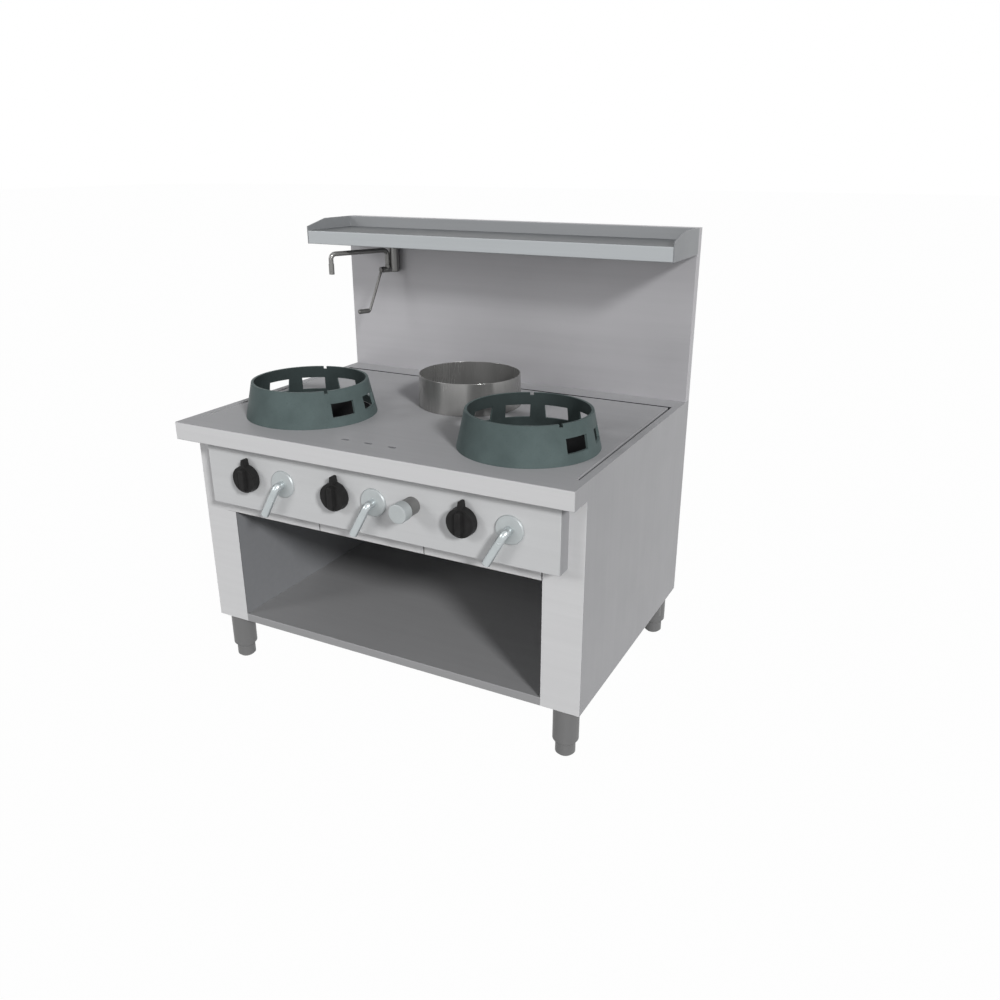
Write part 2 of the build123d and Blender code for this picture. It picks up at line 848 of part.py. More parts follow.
x, y = burner_at["centre"]
with BuildPart() as pot_ring:
    with BuildSketch(upright(x, y)):
        with BuildLine():
            Polyline(
                (pot_ring_base - pot_ring_wall, deck_height),
                (pot_ring_base, deck_height),
                (pot_ring_top, deck_height + pot_ring_height),
                (pot_ring_top - pot_ring_wall, deck_height + pot_ring_height),
                close=True,
            )
        make_face()
    revolve(axis=Axis((x, y, 0), (0, 0, 1)))
save(pot_ring, "pot_ring")

# ---------------------------------------------------------------- drip trays

fronts_left = -bay_half - tray_post_lap
fronts_right = bay_half - tray_edge_gap
tray_names = ("left", "centre", "right")
front_width = (fronts_right - fronts_left + tray_gap) / len(tray_names) - tray_gap
seams = [
    fronts_left + place * (front_width + tray_gap) - tray_gap / 2 for place in range(1, len(tray_names))
]
pan_bottom = bay_top + sheet
runner_front = post_y + 2 * sheet
runner_back = post_y + tray_length
webs = [(-bay_half, -bay_half + sheet)]
webs += [(seam - sheet / 2, seam + sheet / 2) for seam in seams]
webs += [(bay_half - sheet, bay_half)]

for place, name in enumerate(tray_names):
    front_x = fronts_left + place * (front_width + tray_gap)
    pan_x = (webs[place][1] + tray_side_gap, webs[place + 1][0] - tray_side_gap)
    with BuildPart() as drip_tray:
        block((front_x, front_x + front_width), (post_y - tray_front_sheet, post_y), (bay_top, tray_top))
        block(pan_x, (post_y, runner_back), (pan_bottom, tray_top))
        block(
            (pan_x[0] + tray_sheet, pan_x[1] - tray_sheet),
            (post_y, runner_back - tray_sheet),
            (pan_bottom + tray_sheet, tray_top),
            Mode.SUBTRACT,
        )
    save(drip_tray, f"drip_tray_{name}")

with BuildPart() as tray_runners:
    for place, (web_left, web_right) in enumerate(webs):
        at_wall = place in (0, len(webs) - 1)
        leg_left = web_left - (0 if place == 0 else runner_leg)
        leg_right = web_right + (0 if place == len(webs) - 1 else runner_leg)
        block((web_left, web_right), (runner_front, runner_back), (bay_top, tray_top))
        if not at_wall:
            for y in rail_places:
                hanger = (y - rail_width / 2, y + rail_width / 2)
                block((web_left, web_right), hanger, (tray_top, rail_bottom))
        block((leg_left, leg_right), (runner_front, runner_back), (bay_top, pan_bottom))
save(tray_runners, "tray_runners")

# ---------------------------------------------------------------- water to the deck

tap_neck_y = panel_y - tap_body_length - tap_neck_length
valve_top = tap_z + water_boss_rise
feed_y = front_y + feed_setback
supply_y = front_y + water_run_setback
with BuildPart() as water_valve:
    rod((tap_x, panel_y, tap_z), (tap_x, panel_y - tap_body_length, tap_z), tap_body)
    rod((tap_x, panel_y, tap_z), (tap_x, tap_neck_y, tap_z), tap_neck)
    rod((tap_x, panel_y, tap_z), (tap_x, supply_y + water_boss, tap_z), valve_barrel)
    with BuildSketch(facing_front(tap_x, panel_y + sheet + valve_nut_depth, tap_z)):
        RegularPolygon(valve_nut, 6)
    extrude(amount=valve_nut_depth)
    for y in (feed_y, supply_y):
        rod((tap_x, y, tap_z), (tap_x, y, valve_top), water_boss)
    rod(
        (tap_x, tap_neck_y, tap_z),
        (tap_x, tap_neck_y + tap_engagement + fit_gap, tap_z),
        tap_stem + running_gap,
        Mode.SUBTRACT,
    )
save(water_valve, "water_valve")

tap_front = panel_y - tap_length
with BuildPart() as tap_head:
    with BuildSketch(facing_front(tap_x, tap_neck_y - fit_gap, tap_z)):
        Circle(tap_head_radius)
    extrude(amount=tap_neck_y - fit_gap - tap_front)
    fillet(tap_head.edges().sort_by(Axis.Y)[0], tap_rounding)
    rod((tap_x, tap_neck_y - fit_gap, tap_z), (tap_x, tap_neck_y + tap_engagement, tap_z), tap_stem)
save(tap_head, "tap_head")

rinse_half = rinse_pitch * (rinse_count - 1) / 2 + rinse_slot / 2 + rinse_box_margin
rinse_box_x = (rinse_x - rinse_half, rinse_x + rinse_half)
rinse_box_y = (rinse_y - rinse_box_margin, rinse_y + rinse_box_margin)
rinse_box_bottom = deck_bottom - rinse_box_depth
feed_z = deck_bottom - rinse_box_depth / 2
with BuildPart() as rinse_box:
    block(rinse_box_x, rinse_box_y, (rinse_box_bottom, deck_bottom))
    block(
        (rinse_box_x[0] + sheet, rinse_box_x[1] - sheet),
        (rinse_box_y[0] + sheet, rinse_box_y[1] - sheet),
        (rinse_box_bottom + sheet, deck_bottom),
        Mode.SUBTRACT,
    )
    pipe(
        [(tap_x, feed_y, valve_top), (tap_x, feed_y, feed_z), (rinse_box_x[1] - sheet / 2, feed_y, feed_z)],
        water_bend,
        water_radius,
    )
save(rinse_box, "rinse_box")

with BuildPart() as water_pipe:
    pipe(
        [
            (faucet_x, water_riser_y, water_run_z),
            (water_run_x, water_riser_y, water_run_z),
            (water_run_x, supply_y, water_run_z),
            (tap_x, supply_y, water_run_z),
            (tap_x, supply_y, valve_top),
        ],
        water_bend,
        water_radius,
    )
    rod(
        (faucet_x, water_riser_y, water_inlet_height),
        (faucet_x, water_riser_y, hub_height + tail_radius),
        water_radius,
    )
    rod(
        (faucet_x, water_riser_y, water_inlet_height),
        (faucet_x, water_riser_y, water_inlet_height + water_inlet_length),
        water_inlet_radius,
    )
    rod(
        (faucet_x, water_riser_y, water_inlet_height),
        (faucet_x, water_riser_y, water_inlet_height + water_inlet_length),
        water_radius - sheet,
        Mode.SUBTRACT,
    )
save(water_pipe, "water_pipe")

with BuildPart() as gutter_drain:
    rod(
        (gutter_side_x, gutter_rear_y, drain_bottom),
        (gutter_side_x, gutter_rear_y, gutter_bottom),
        drain_radius,
    )
    rod(
        (gutter_side_x, gutter_rear_y, drain_bottom),
        (gutter_side_x, gutter_rear_y, drain_bottom + drain_spigot_length),
        drain_spigot_radius,
    )
    rod(
        (gutter_side_x, gutter_rear_y, drain_bottom),
        (gutter_side_x, gutter_rear_y, gutter_bottom - deck_sheet),
        drain_bore,
        Mode.SUBTRACT,
    )
    rod(
        (gutter_side_x, gutter_rear_y, drain_bottom),
        (gutter_side_x, gutter_rear_y, gutter_bottom),
        drain_hole,
        Mode.SUBTRACT,
    )
save(gutter_drain, "gutter_drain")

# ---------------------------------------------------------------- faucet


def ahead(distance, height):
    """A point at a distance from the faucet's column, in the direction it faces."""
    return (faucet_x + distance * toward[0], faucet_y + distance * toward[1], height)


hub_top = hub_height + hub_radius
with BuildPart() as faucet_body:
    rod(ahead(0, hub_height - hub_radius), ahead(0, column_top), column_radius)
    fillet(faucet_body.edges().sort_by(Axis.Z)[-1], column_dome)
    rod(ahead(0, hub_height), ahead(hub_length, hub_height), hub_radius)
    rod(ahead(riser_out, hub_height), ahead(riser_out, hub_top + seat_rise), seat_radius)
    rod(ahead(0, hub_height), (faucet_x, water_riser_y - water_radius, hub_height), tail_radius)
    rod(
        ahead(riser_out, hub_height),
        ahead(riser_out, hub_top + seat_rise),
        spout_radius - sheet + running_gap,
        Mode.SUBTRACT,
    )
    rod(
        ahead(hub_length - stem_grip - fit_gap, hub_height),
        ahead(hub_length + sheet, hub_height),
        crank_radius + running_gap,
        Mode.SUBTRACT,
    )
save(faucet_body, "faucet_body")

spout_foot = hub_top + seat_rise + fit_gap
spout_end = riser_out + spout_length
with BuildPart() as faucet_spout:
    pipe(
        [
            ahead(riser_out, spout_foot),
            ahead(riser_out, spout_height),
            ahead(spout_end, spout_height),
            ahead(spout_end, spout_height - spout_drop),
        ],
        spout_bend,
        spout_radius,
    )
    rod(
        ahead(spout_end, spout_height - spout_drop),
        ahead(spout_end, spout_height - spout_drop + nozzle_length),
        nozzle_radius,
    )
    rod(
        ahead(riser_out, hub_height + fit_gap),
        ahead(riser_out, spout_height - spout_bend),
        spout_radius - sheet,
    )
    rod(
        ahead(spout_end, spout_height - spout_drop),
        ahead(spout_end, spout_height - spout_drop + nozzle_length / 2),
        spout_radius,
        Mode.SUBTRACT,
    )
save(faucet_spout, "faucet_spout")

crank_from = hub_length + fit_gap
crank_axis = crank_from + crank_hub / 2
with BuildPart() as faucet_lever:
    rod(ahead(hub_length - stem_grip, hub_height), ahead(crank_from, hub_height), crank_radius)
    rod(ahead(crank_from, hub_height), ahead(crank_from + crank_hub, hub_height), hub_radius)
    rod(
        ahead(crank_axis, hub_height),
        ahead(crank_axis + crank_lean, hub_height - crank_drop),
        crank_radius,
    )
    rod(
        ahead(crank_axis + crank_lean - crank_radius, hub_height - crank_drop),
        ahead(crank_axis + crank_lean + crank_grip, hub_height - crank_drop),
        crank_grip_radius,
    )
save(faucet_lever, "faucet_lever")

# ---------------------------------------------------------------- legs and bolts

leg_places = {
    f"{end}_{side}": (sign * (half_width - leg_from_side), y)
    for end, y in leg_y.items()
    for side, sign in (("left", -1), ("right", 1))
}
with BuildPart() as leg_tubes:
    for x, y in leg_places.values():
        rod((x, y, leg_bottom), (x, y, base_height), leg_radius)
        rod(
            (x, y, leg_bottom + leg_plug),
            (x, y, base_height - leg_plate),
            leg_radius - leg_wall,
            Mode.SUBTRACT,
        )
        rod((x, y, leg_bottom), (x, y, leg_bottom + leg_plug), foot_spindle + running_gap, Mode.SUBTRACT)
        rod(
            (x, y, base_height - leg_plate),
            (x, y, base_height),
            bolt_radius + running_gap,
            Mode.SUBTRACT,
        )
save(leg_tubes, "leg_tubes")

for name, (x, y) in leg_places.items():
    with BuildPart() as foot:
        rod((x, y, 0), (x, y, foot_height), foot_radius)
        chamfer(foot.edges().group_by(Axis.Z)[0], foot_chamfer)
        rod((x, y, foot_height), (x, y, foot_height + foot_spindle_length), foot_spindle)
    save(foot, f"foot_{name}")

bolt_seats = [(x, y, base_height + sheet) for x, y in leg_places.values()]
for side in (-1, 1):
    for x in (side * bay_half, side * bay_half / 2):
        bolt_seats.append((x, splash_y + backsplash_depth / 2, deck_height + sheet))
with BuildPart() as bolts:
    for x, y, z in bolt_seats:
        rod((x, y, z - bolt_length), (x, y, z), bolt_radius)
        with BuildSketch(Plane((x, y, z))):
            RegularPolygon(bolt_head, 6)
        extrude(amount=bolt_head_height)
save(bolts, "bolts")
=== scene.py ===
"""The looks of a gas wok range, laid out as a Blender add-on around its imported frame.

Run as a script it loads the frame, builds every piece with one operator each or one for a
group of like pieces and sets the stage. Lengths are in
metres, in the frame's own axes: X to the right, +Y to the rear, +Z up from the floor.
"""

import json
import math

import bmesh
import bpy
from bpy.props import FloatProperty, FloatVectorProperty, PointerProperty
from mathutils import Euler, Matrix, Vector

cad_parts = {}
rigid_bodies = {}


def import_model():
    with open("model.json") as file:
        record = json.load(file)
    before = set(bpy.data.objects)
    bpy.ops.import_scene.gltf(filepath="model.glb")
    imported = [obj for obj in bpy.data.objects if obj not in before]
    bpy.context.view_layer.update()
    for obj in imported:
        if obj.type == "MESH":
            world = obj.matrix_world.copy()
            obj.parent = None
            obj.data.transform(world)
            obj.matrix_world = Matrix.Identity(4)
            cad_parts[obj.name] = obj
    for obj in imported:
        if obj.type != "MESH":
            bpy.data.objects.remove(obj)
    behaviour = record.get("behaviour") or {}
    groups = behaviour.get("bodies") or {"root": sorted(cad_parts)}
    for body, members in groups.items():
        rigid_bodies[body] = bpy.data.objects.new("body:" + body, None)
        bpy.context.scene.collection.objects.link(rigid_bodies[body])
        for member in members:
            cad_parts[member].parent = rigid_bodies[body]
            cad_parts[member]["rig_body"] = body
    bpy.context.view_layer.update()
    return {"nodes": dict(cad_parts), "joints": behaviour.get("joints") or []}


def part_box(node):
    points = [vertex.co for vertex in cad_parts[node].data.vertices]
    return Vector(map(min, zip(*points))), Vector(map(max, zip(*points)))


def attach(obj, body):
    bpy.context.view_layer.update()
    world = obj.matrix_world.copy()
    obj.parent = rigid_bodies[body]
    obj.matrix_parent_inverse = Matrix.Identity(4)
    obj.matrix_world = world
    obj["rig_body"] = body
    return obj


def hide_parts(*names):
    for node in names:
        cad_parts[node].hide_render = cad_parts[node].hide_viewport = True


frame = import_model()

bl_info = {
    "name": "Wok Range",
    "version": (1, 0, 0),
    "blender": (4, 5, 0),
    "location": "View3D > Sidebar > Wok Range",
    "description": "Builds the pieces and finishes of a gas wok range",
    "category": "Object",
}

MM = 0.001
SIDES = ("left", "right")
PLACES = ("left", "centre", "right")
FULL_TURN = 2 * math.pi
FRONT = Vector((0, -1, 0))
RIGHT = Vector((1, 0, 0))
UP = Vector((0, 0, 1))


# ---------------------------------------------------------------- settings


def length(label, words, millimetres):
    return FloatProperty(
        name=label, description=words, default=millimetres * MM, min=0.0, unit="LENGTH"
    )


def colour(label, words, value):
    return FloatVectorProperty(
        name=label, description=words, default=value, min=0.0, max=1.0, size=3, subtype="COLOR"
    )


def angle(label, words, degrees):
    return FloatProperty(
        name=label, description=words, default=math.radians(degrees), unit="ROTATION"
    )


def heading(label, words, value):
    return FloatVectorProperty(name=label, description=words, default=value, subtype="DIRECTION")


def power(label, words, value):
    return FloatProperty(name=label, description=words, default=value, min=0.0)


class RangeSizes(bpy.types.PropertyGroup):
    """Sizes of the visible pieces that the frame's boxes don't give."""

    fold: length("Fold radius", "Outer radius of the folds in the body sheet", 2.2)
    sheet_edge: length("Sheet edge", "Rounding of the cut edges of sheet metal", 0.5)
    cast_edge: length("Cast edge", "Rounding of the edges of castings", 1.8)
    machined_edge: length("Machined edge", "Rounding of turned and plated pieces", 1.0)
    ring_wall: length("Ring wall", "Thickness of the cast wok rings", 7.5)
    ring_taper: length("Ring taper", "Base radius of a wok ring less its top radius", 21.5)
    window_width: length("Window width", "Width of the wok rings' windows", 70.0)
    window_height: length("Window height", "Height of the wok rings' windows", 37.0)
    window_sill: length("Window sill", "Deck to the lower edge of the windows", 26.0)
    notch_width: length("Notch width", "Width of the notches in the wok rings' rims", 10.0)
    notch_depth: length("Notch depth", "Depth of the notches in the wok rings' rims", 8.0)
    pot_ring_wall: length("Pot ring wall", "Thickness of the pot ring's band", 2.5)
    pot_ring_taper: length("Pot ring taper", "Base radius of the pot ring less its top", 3.0)
    knob_disc: length("Knob disc", "Thickness of the knobs' round skirt", 22.0)
    knob_radius: length("Knob radius", "Radius of the knobs' round skirt", 39.0)
    grip_width: length("Grip width", "Width of the knobs' raised grip", 20.0)
    nib_width: length("Nib width", "Width of the knobs' pointer at the skirt", 16.0)
    lever_radius: length("Lever radius", "Radius of the lever's round bar", 11.0)
    lever_bend: length("Lever bend", "Radius of the bend at the lever's hub", 14.0)
    column_radius: length("Column radius", "Radius of the faucet's wall column", 17.0)
    hub_radius: length("Hub radius", "Radius of the faucet's valve hub and lever hub", 9.5)
    seat_radius: length("Seat radius", "Radius of the seat under the faucet's spout", 8.8)
    seat_height: length("Seat height", "Hub's axis to the top of the spout's seat", 15.5)
    spout_radius: length("Spout radius", "Radius of the faucet's spout tube", 7.5)
    spout_bend: length("Spout bend", "Radius of the bends in the spout", 16.0)
    nozzle_length: length("Nozzle length", "Length of the spout's nozzle", 34.0)
    nozzle_radius: length("Nozzle radius", "Radius of the spout's nozzle", 8.5)
    crank_radius: length("Crank radius", "Radius of the faucet lever's rod", 4.5)
    crank_bend: length("Crank bend", "Radius of the bends in the faucet lever's rod", 6.0)
    crank_grip: length("Crank grip", "Radius of the faucet lever's grip", 7.5)
    handle_length: length("Handle length", "Length of the faucet lever's grip", 45.0)
    leg_radius: length("Leg radius", "Radius of the leg tubes", 35.0)


class RangeColours(bpy.types.PropertyGroup):
    """Base colours of the finishes. The steel tones differ by piece and by the way a face looks,
    so many of them stand for painted light and shade as well as for the metal's own colour.
    """

    body: colour("Body steel", "Satin sheet of the posts, fascia and trays", (0.62, 0.62, 0.625))
    # A little darker than the body steel: painted shade for the worktop's front edge over the
    # panel.
    panel: colour("Panel steel", "Satin sheet of the control panel", (0.565, 0.57, 0.575))
    # The body steel's tone made darker for faces that look sideways: painted shade.
    side: colour("Side steel", "Satin sheet with an upright grain", (0.33, 0.33, 0.34))
    # Darker than the worktop's front faces of the same sheet: painted shade on its top.
    deck: colour("Deck steel", "Satin sheet of the worktop", (0.375, 0.375, 0.385))
    # Darker in the gutter's hollow and on the openings' rims: painted shade.
    gutter: colour("Gutter steel", "Pressed gutter and rims of the openings", (0.17, 0.17, 0.175))
    # Lighter than the rest of the gutter: painted light on its side walls.
    groove: colour("Groove steel", "Side walls of the gutter", (0.43, 0.43, 0.44))
    shaded: colour("Shaded steel", "Gutter's rear wall", (0.022, 0.024, 0.028))
    splash: colour("Backsplash steel", "Satin sheet of the backsplash", (0.44, 0.435, 0.45))
    shelf: colour("Shelf steel", "Satin sheet of the shelf", (0.455, 0.477, 0.490))
    # Gussets darker than the shelf: painted shade.
    upper: colour("Gusset steel", "Shelf's gussets", (0.24, 0.248, 0.257))
    # The backsplash's front above the shelf made darker: painted shade.
    headwall: colour("Headwall steel", "Backsplash's front above the shelf", (0.285, 0.293, 0.302))
    # The shelf's upper face, much darker than its lip of the same sheet: painted shade.
    tray: colour("Shelf tray steel", "Upper face of the shelf", (0.116, 0.122, 0.127))
    # Darker than the body steel, inside the cabinet and in the rinse slots: painted shade.
    inside: colour("Cabinet steel", "Inner walls, rear panel and rinse slots", (0.235, 0.24, 0.25))
    # Darker than the body steel on the cabinet's floor: painted shade.
    bottom: colour("Floor steel", "Satin sheet of the cabinet's floor", (0.30, 0.30, 0.305))
    polished: colour("Polished steel", "Faucet and spindles", (0.22, 0.218, 0.212))
    crank: colour("Crank steel", "Cranked lever of the faucet", (0.13, 0.128, 0.124))
    ring: colour("Ring steel", "Rolled band of the pot ring", (0.27, 0.268, 0.262))
    dark: colour("Darkened steel", "Wells that the flame has darkened", (0.016, 0.016, 0.017))
    valve: colour("Valve steel", "Body of the deck tap", (0.17, 0.17, 0.167))
    chrome: colour("Chrome", "Plated levers", (0.52, 0.56, 0.57))
    satin: colour("Satin chrome", "Flanges of the levers and head of the tap", (0.46, 0.49, 0.495))
    plastic: colour("Black plastic", "Moulded knobs", (0.0190, 0.0188, 0.0188))
    brass: colour("Brass", "Gas taps, lever valves and pilots", (0.52, 0.38, 0.16))
    iron: colour("Cast iron", "Burners and their heads", (0.030, 0.030, 0.032))
    enamel: colour("Green enamel", "Cast wok rings", (0.091, 0.120, 0.119))
    soot: colour("Sooted enamel", "Inside of the wok rings", (0.045, 0.058, 0.058))
    tube: colour("Tube steel", "Pipes, rails and runners", (0.30, 0.30, 0.31))
    foot: colour("Leg steel", "Leg tubes and levelling feet", (0.16, 0.16, 0.16))


class StageSettings(bpy.types.PropertyGroup):
    """Camera and lights."""

    camera_at: FloatVectorProperty(
        name="Camera place",
        description="Where the camera stands",
        default=(1.2883, -2.1174, 1.4698),
        unit="LENGTH",
    )
    azimuth: angle("Azimuth", "How far the camera stands round to the right", 27.28)
    elevation: angle("Elevation", "How far the camera looks down", 21.21)
    lens: FloatProperty(
        name="Lens", description="Focal length on a 36 mm sensor", default=31.93, unit="CAMERA"
    )
    key_from: heading("Key direction", "From the range to the key light", (0.720, -0.537, 0.447))
    key_strength: power("Key", "Strength of the key light", 2.45)
    key_softness: angle("Key softness", "Apparent size of the key light", 9.0)
    fill_from: heading("Fill direction", "From the range to the fill light", (-0.60, -0.72, 0.40))
    fill_strength: power("Fill", "Strength of the fill light", 0.75)
    fill_softness: angle("Fill softness", "Apparent size of the fill and front lights", 18.0)
    front_from: heading(
        "Front direction", "From the range to the low light into the cabinet", (0.30, -0.94, 0.12)
    )
    front_strength: power("Front", "Strength of the low front light", 0.3)
    ambient: power("Ambient", "Strength of the light from all around", 0.23)


# ---------------------------------------------------------------- finishes


def link(tree, start, end):
    tree.links.new(start, end)


def noise(tree, frequency, detail, roughness=0.5):
    """Noise on Object coordinates, its frequency per metre along all axes or along each."""
    if isinstance(frequency, float):
        frequency = [frequency] * 3
    place = tree.nodes.new("ShaderNodeTexCoord")
    mapping = tree.nodes.new("ShaderNodeMapping")
    mapping.inputs["Scale"].default_value = frequency
    link(tree, place.outputs["Object"], mapping.inputs["Vector"])
    texture = tree.nodes.new("ShaderNodeTexNoise")
    texture.inputs["Scale"].default_value = 1.0
    texture.inputs["Detail"].default_value = detail
    texture.inputs["Roughness"].default_value = roughness
    link(tree, mapping.outputs["Vector"], texture.inputs["Vector"])
    return texture.outputs["Fac"]


def spread(tree, value, low, high, start=0.3, stop=0.7):
    """The value's middle range spread over low to high."""
    node = tree.nodes.new("ShaderNodeMapRange")
    link(tree, value, node.inputs["Value"])
    ends = {"From Min": start, "From Max": stop, "To Min": low, "To Max": high}
    for name, number in ends.items():
        node.inputs[name].default_value = number
    return node.outputs["Result"]


def arithmetic(tree, operation, first, second):
    """A Math node on two values, each a socket or a number."""
    node = tree.nodes.new("ShaderNodeMath")
    node.operation = operation
    for socket, value in zip(node.inputs, (first, second)):
        if isinstance(value, bpy.types.NodeSocket):
            link(tree, value, socket)
        else:
            socket.default_value = value
    return node.outputs[0]


def blended(tree, factor, first, second):
    """A colour between two colours, each a socket or three numbers."""
    node = tree.nodes.new("ShaderNodeMix")
    node.data_type = "RGBA"
    link(tree, factor, node.inputs["Factor"])
    for name, value in (("A", first), ("B", second)):
        socket = next(s for s in node.inputs if s.name == name and s.type == "RGBA")
        if isinstance(value, bpy.types.NodeSocket):
            link(tree, value, socket)
        else:
            socket.default_value = (*value, 1.0)
    return next(s for s in node.outputs if s.type == "RGBA")


def plus(tree, first, second, share=1.0):
    """The first value and a share of the second."""
    if share != 1.0:
        second = arithmetic(tree, "MULTIPLY", second, share)
    return arithmetic(tree, "ADD", first, second)


def shade(base, factor):
    """The base colour made darker or lighter."""
    return [min(part * factor, 1.0) for part in base]


def between(tree, value, base, darker, lighter):
    """A darker to a lighter shade of the base colour, as the value rises."""
    return blended(tree, spread(tree, value, 0.0, 1.0), shade(base, darker), shade(base, lighter))


def skin(tree, tint, rough, relief, strength, depth, metallic=0.0, shine=0.5):
    """Give the material's shader its colour, its roughness and a fine relief."""
    bump = tree.nodes.new("ShaderNodeBump")
    bump.inputs["Strength"].default_value = strength
    bump.inputs["Distance"].default_value = depth
    link(tree, relief, bump.inputs["Height"])
    shader = tree.nodes["Principled BSDF"]
    shader.inputs["Metallic"].default_value = metallic
    shader.inputs["Specular IOR Level"].default_value = shine
    link(tree, tint, shader.inputs["Base Color"])
    link(tree, rough, shader.inputs["Roughness"])
    link(tree, bump.outputs["Normal"], shader.inputs["Normal"])


ALONG_X, ALONG_Y, UPRIGHT = range(3)


def brushed(
    tree, base, grain=ALONG_X, metallic=0.12, gloss=0.42, shine=0.3, tone=0.025, broad=60.0
):
    """Satin sheet: fine grain along one axis, broad streaks and faint smudges."""

    def lines(along, across):
        frequency = [along if axis == grain else across for axis in range(3)]
        return noise(tree, frequency, detail=2.0)

    fine = lines(6.0, 700.0)
    streak = lines(1.5, broad)
    smudge = noise(tree, 5.0, detail=5.0, roughness=0.6)
    mixed = plus(tree, arithmetic(tree, "MULTIPLY", streak, 0.7), fine, 0.3)
    tint = between(tree, mixed, base, 1 - tone, 1 + tone)
    smudged = spread(tree, smudge, gloss - 0.04, gloss + 0.06)
    rough = plus(tree, smudged, spread(tree, fine, -0.03, 0.03))
    relief = plus(tree, fine, streak)
    skin(tree, tint, rough, relief, 0.05, 0.02 * MM, metallic=metallic, shine=shine)


def polished(tree, base, gloss, wear, metallic=1.0):
    """Plated or polished metal with faint scuffs and polishing marks."""
    scuff = noise(tree, 38.0, detail=6.0, roughness=0.65)
    marks = noise(tree, 420.0, detail=2.0)
    tint = between(tree, scuff, base, 0.94, 1.04)
    rough = spread(tree, scuff, gloss, gloss + wear)
    skin(tree, tint, rough, plus(tree, scuff, marks, 0.3), 0.03, 0.02 * MM, metallic=metallic)


def cast(tree, base):
    """Sand-cast metal: pitted skin with lighter rubbed spots."""
    pit = 1.2 * MM
    grain = noise(tree, 1 / pit, detail=3.0, roughness=0.6)
    lumps = noise(tree, 60.0, detail=4.0)
    tint = between(tree, lumps, base, 0.7, 1.5)
    rough = spread(tree, grain, 0.54, 0.74)
    skin(tree, tint, rough, plus(tree, grain, lumps, 1.5), 0.5, 0.25 * MM, metallic=0.3)


def enamelled(tree, base):
    """Thick glass enamel on a casting: orange peel, speckle and a cloudy tone."""
    peel = noise(tree, 160.0, detail=2.0)
    cloud = noise(tree, 14.0, detail=4.0)
    speck = noise(tree, 520.0, detail=1.0)
    spots = spread(tree, speck, 0.0, 0.55, start=0.66, stop=0.74)
    tint = blended(tree, spots, between(tree, cloud, base, 0.86, 1.12), shade(base, 0.45))
    rough = spread(tree, cloud, 0.34, 0.46)
    skin(tree, tint, rough, plus(tree, peel, cloud), 0.3, 0.18 * MM, shine=0.035)


def moulded(tree, base):
    """Black thermoset plastic with a fine spark-eroded texture and rubbed gloss."""
    spark = noise(tree, 1400.0, detail=2.0)
    rub = noise(tree, 45.0, detail=5.0)
    tint = between(tree, rub, base, 0.9, 1.25)
    rough = spread(tree, rub, 0.30, 0.46)
    skin(tree, tint, rough, spark, 0.25, 0.05 * MM, shine=0.08)


SATIN = {"metallic": 0.06, "shine": 0.15}
MATT = {"metallic": 0.0, "gloss": 0.5, "shine": 0.05}
# what makes each finish, the name of its colour and its other settings
FINISHES = {
    "body_steel": (brushed, "body", SATIN),
    "panel_steel": (brushed, "panel", SATIN),
    "side_steel": (brushed, "side", {"grain": UPRIGHT}),
    "deck_steel": (brushed, "deck", {"metallic": 0.04, "gloss": 0.46, "shine": 0.10}),
    "gutter_steel": (brushed, "gutter", MATT),
    "groove_steel": (brushed, "groove", MATT),
    "shaded_steel": (brushed, "shaded", MATT),
    "splash_steel": (brushed, "splash", {"metallic": 0.33, "gloss": 0.36, "shine": 0.15}),
    "shelf_steel": (brushed, "shelf", {}),
    "upper_steel": (brushed, "upper", {}),
    "headwall_steel": (brushed, "headwall", {}),
    "tray_steel": (brushed, "tray", {**SATIN, "gloss": 0.45}),
    "cabinet_steel": (brushed, "inside", {}),
    "floor_steel": (brushed, "bottom", {}),
    "pipe_steel": (brushed, "tube", {"grain": ALONG_Y}),
    "foot_steel": (brushed, "foot", {"grain": UPRIGHT, "gloss": 0.40}),
    # The pot ring's strong broad upright streaks are painted reflection bands.
    "ring_steel": (
        brushed,
        "ring",
        {"grain": UPRIGHT, "metallic": 0.6, "gloss": 0.22, "tone": 0.20, "broad": 13.0},
    ),
    "darkened_steel": (
        brushed,
        "dark",
        {"metallic": 0.0, "gloss": 0.6, "shine": 0.05, "tone": 0.2, "broad": 20.0},
    ),
    "polished_steel": (polished, "polished", {"gloss": 0.20, "wear": 0.08, "metallic": 0.5}),
    "crank_steel": (polished, "crank", {"gloss": 0.26, "wear": 0.08, "metallic": 0.4}),
    "valve_steel": (polished, "valve", {"gloss": 0.40, "wear": 0.10, "metallic": 0.3}),
    "chrome": (polished, "chrome", {"gloss": 0.22, "wear": 0.06, "metallic": 0.6}),
    "satin_chrome": (polished, "satin", {"gloss": 0.38, "wear": 0.08, "metallic": 0.3}),
    "brass": (polished, "brass", {"gloss": 0.28, "wear": 0.14}),
    "black_plastic": (moulded, "plastic", {}),
    "cast_iron": (cast, "iron", {}),
    "green_enamel": (enamelled, "enamel", {}),
    "sooted_enamel": (enamelled, "soot", {}),
}


def finish(name):
    """The finish's material, made the first time it is asked for."""
    made = bpy.data.materials.get(f"{name}_finish")
    if made is None:
        maker, tint, settings = FINISHES[name]
        made = bpy.data.materials.new(f"{name}_finish")
        made.use_nodes = True
        maker(made.node_tree, getattr(bpy.context.scene.range_colours, tint), **settings)
    return made


# ---------------------------------------------------------------- shared forms

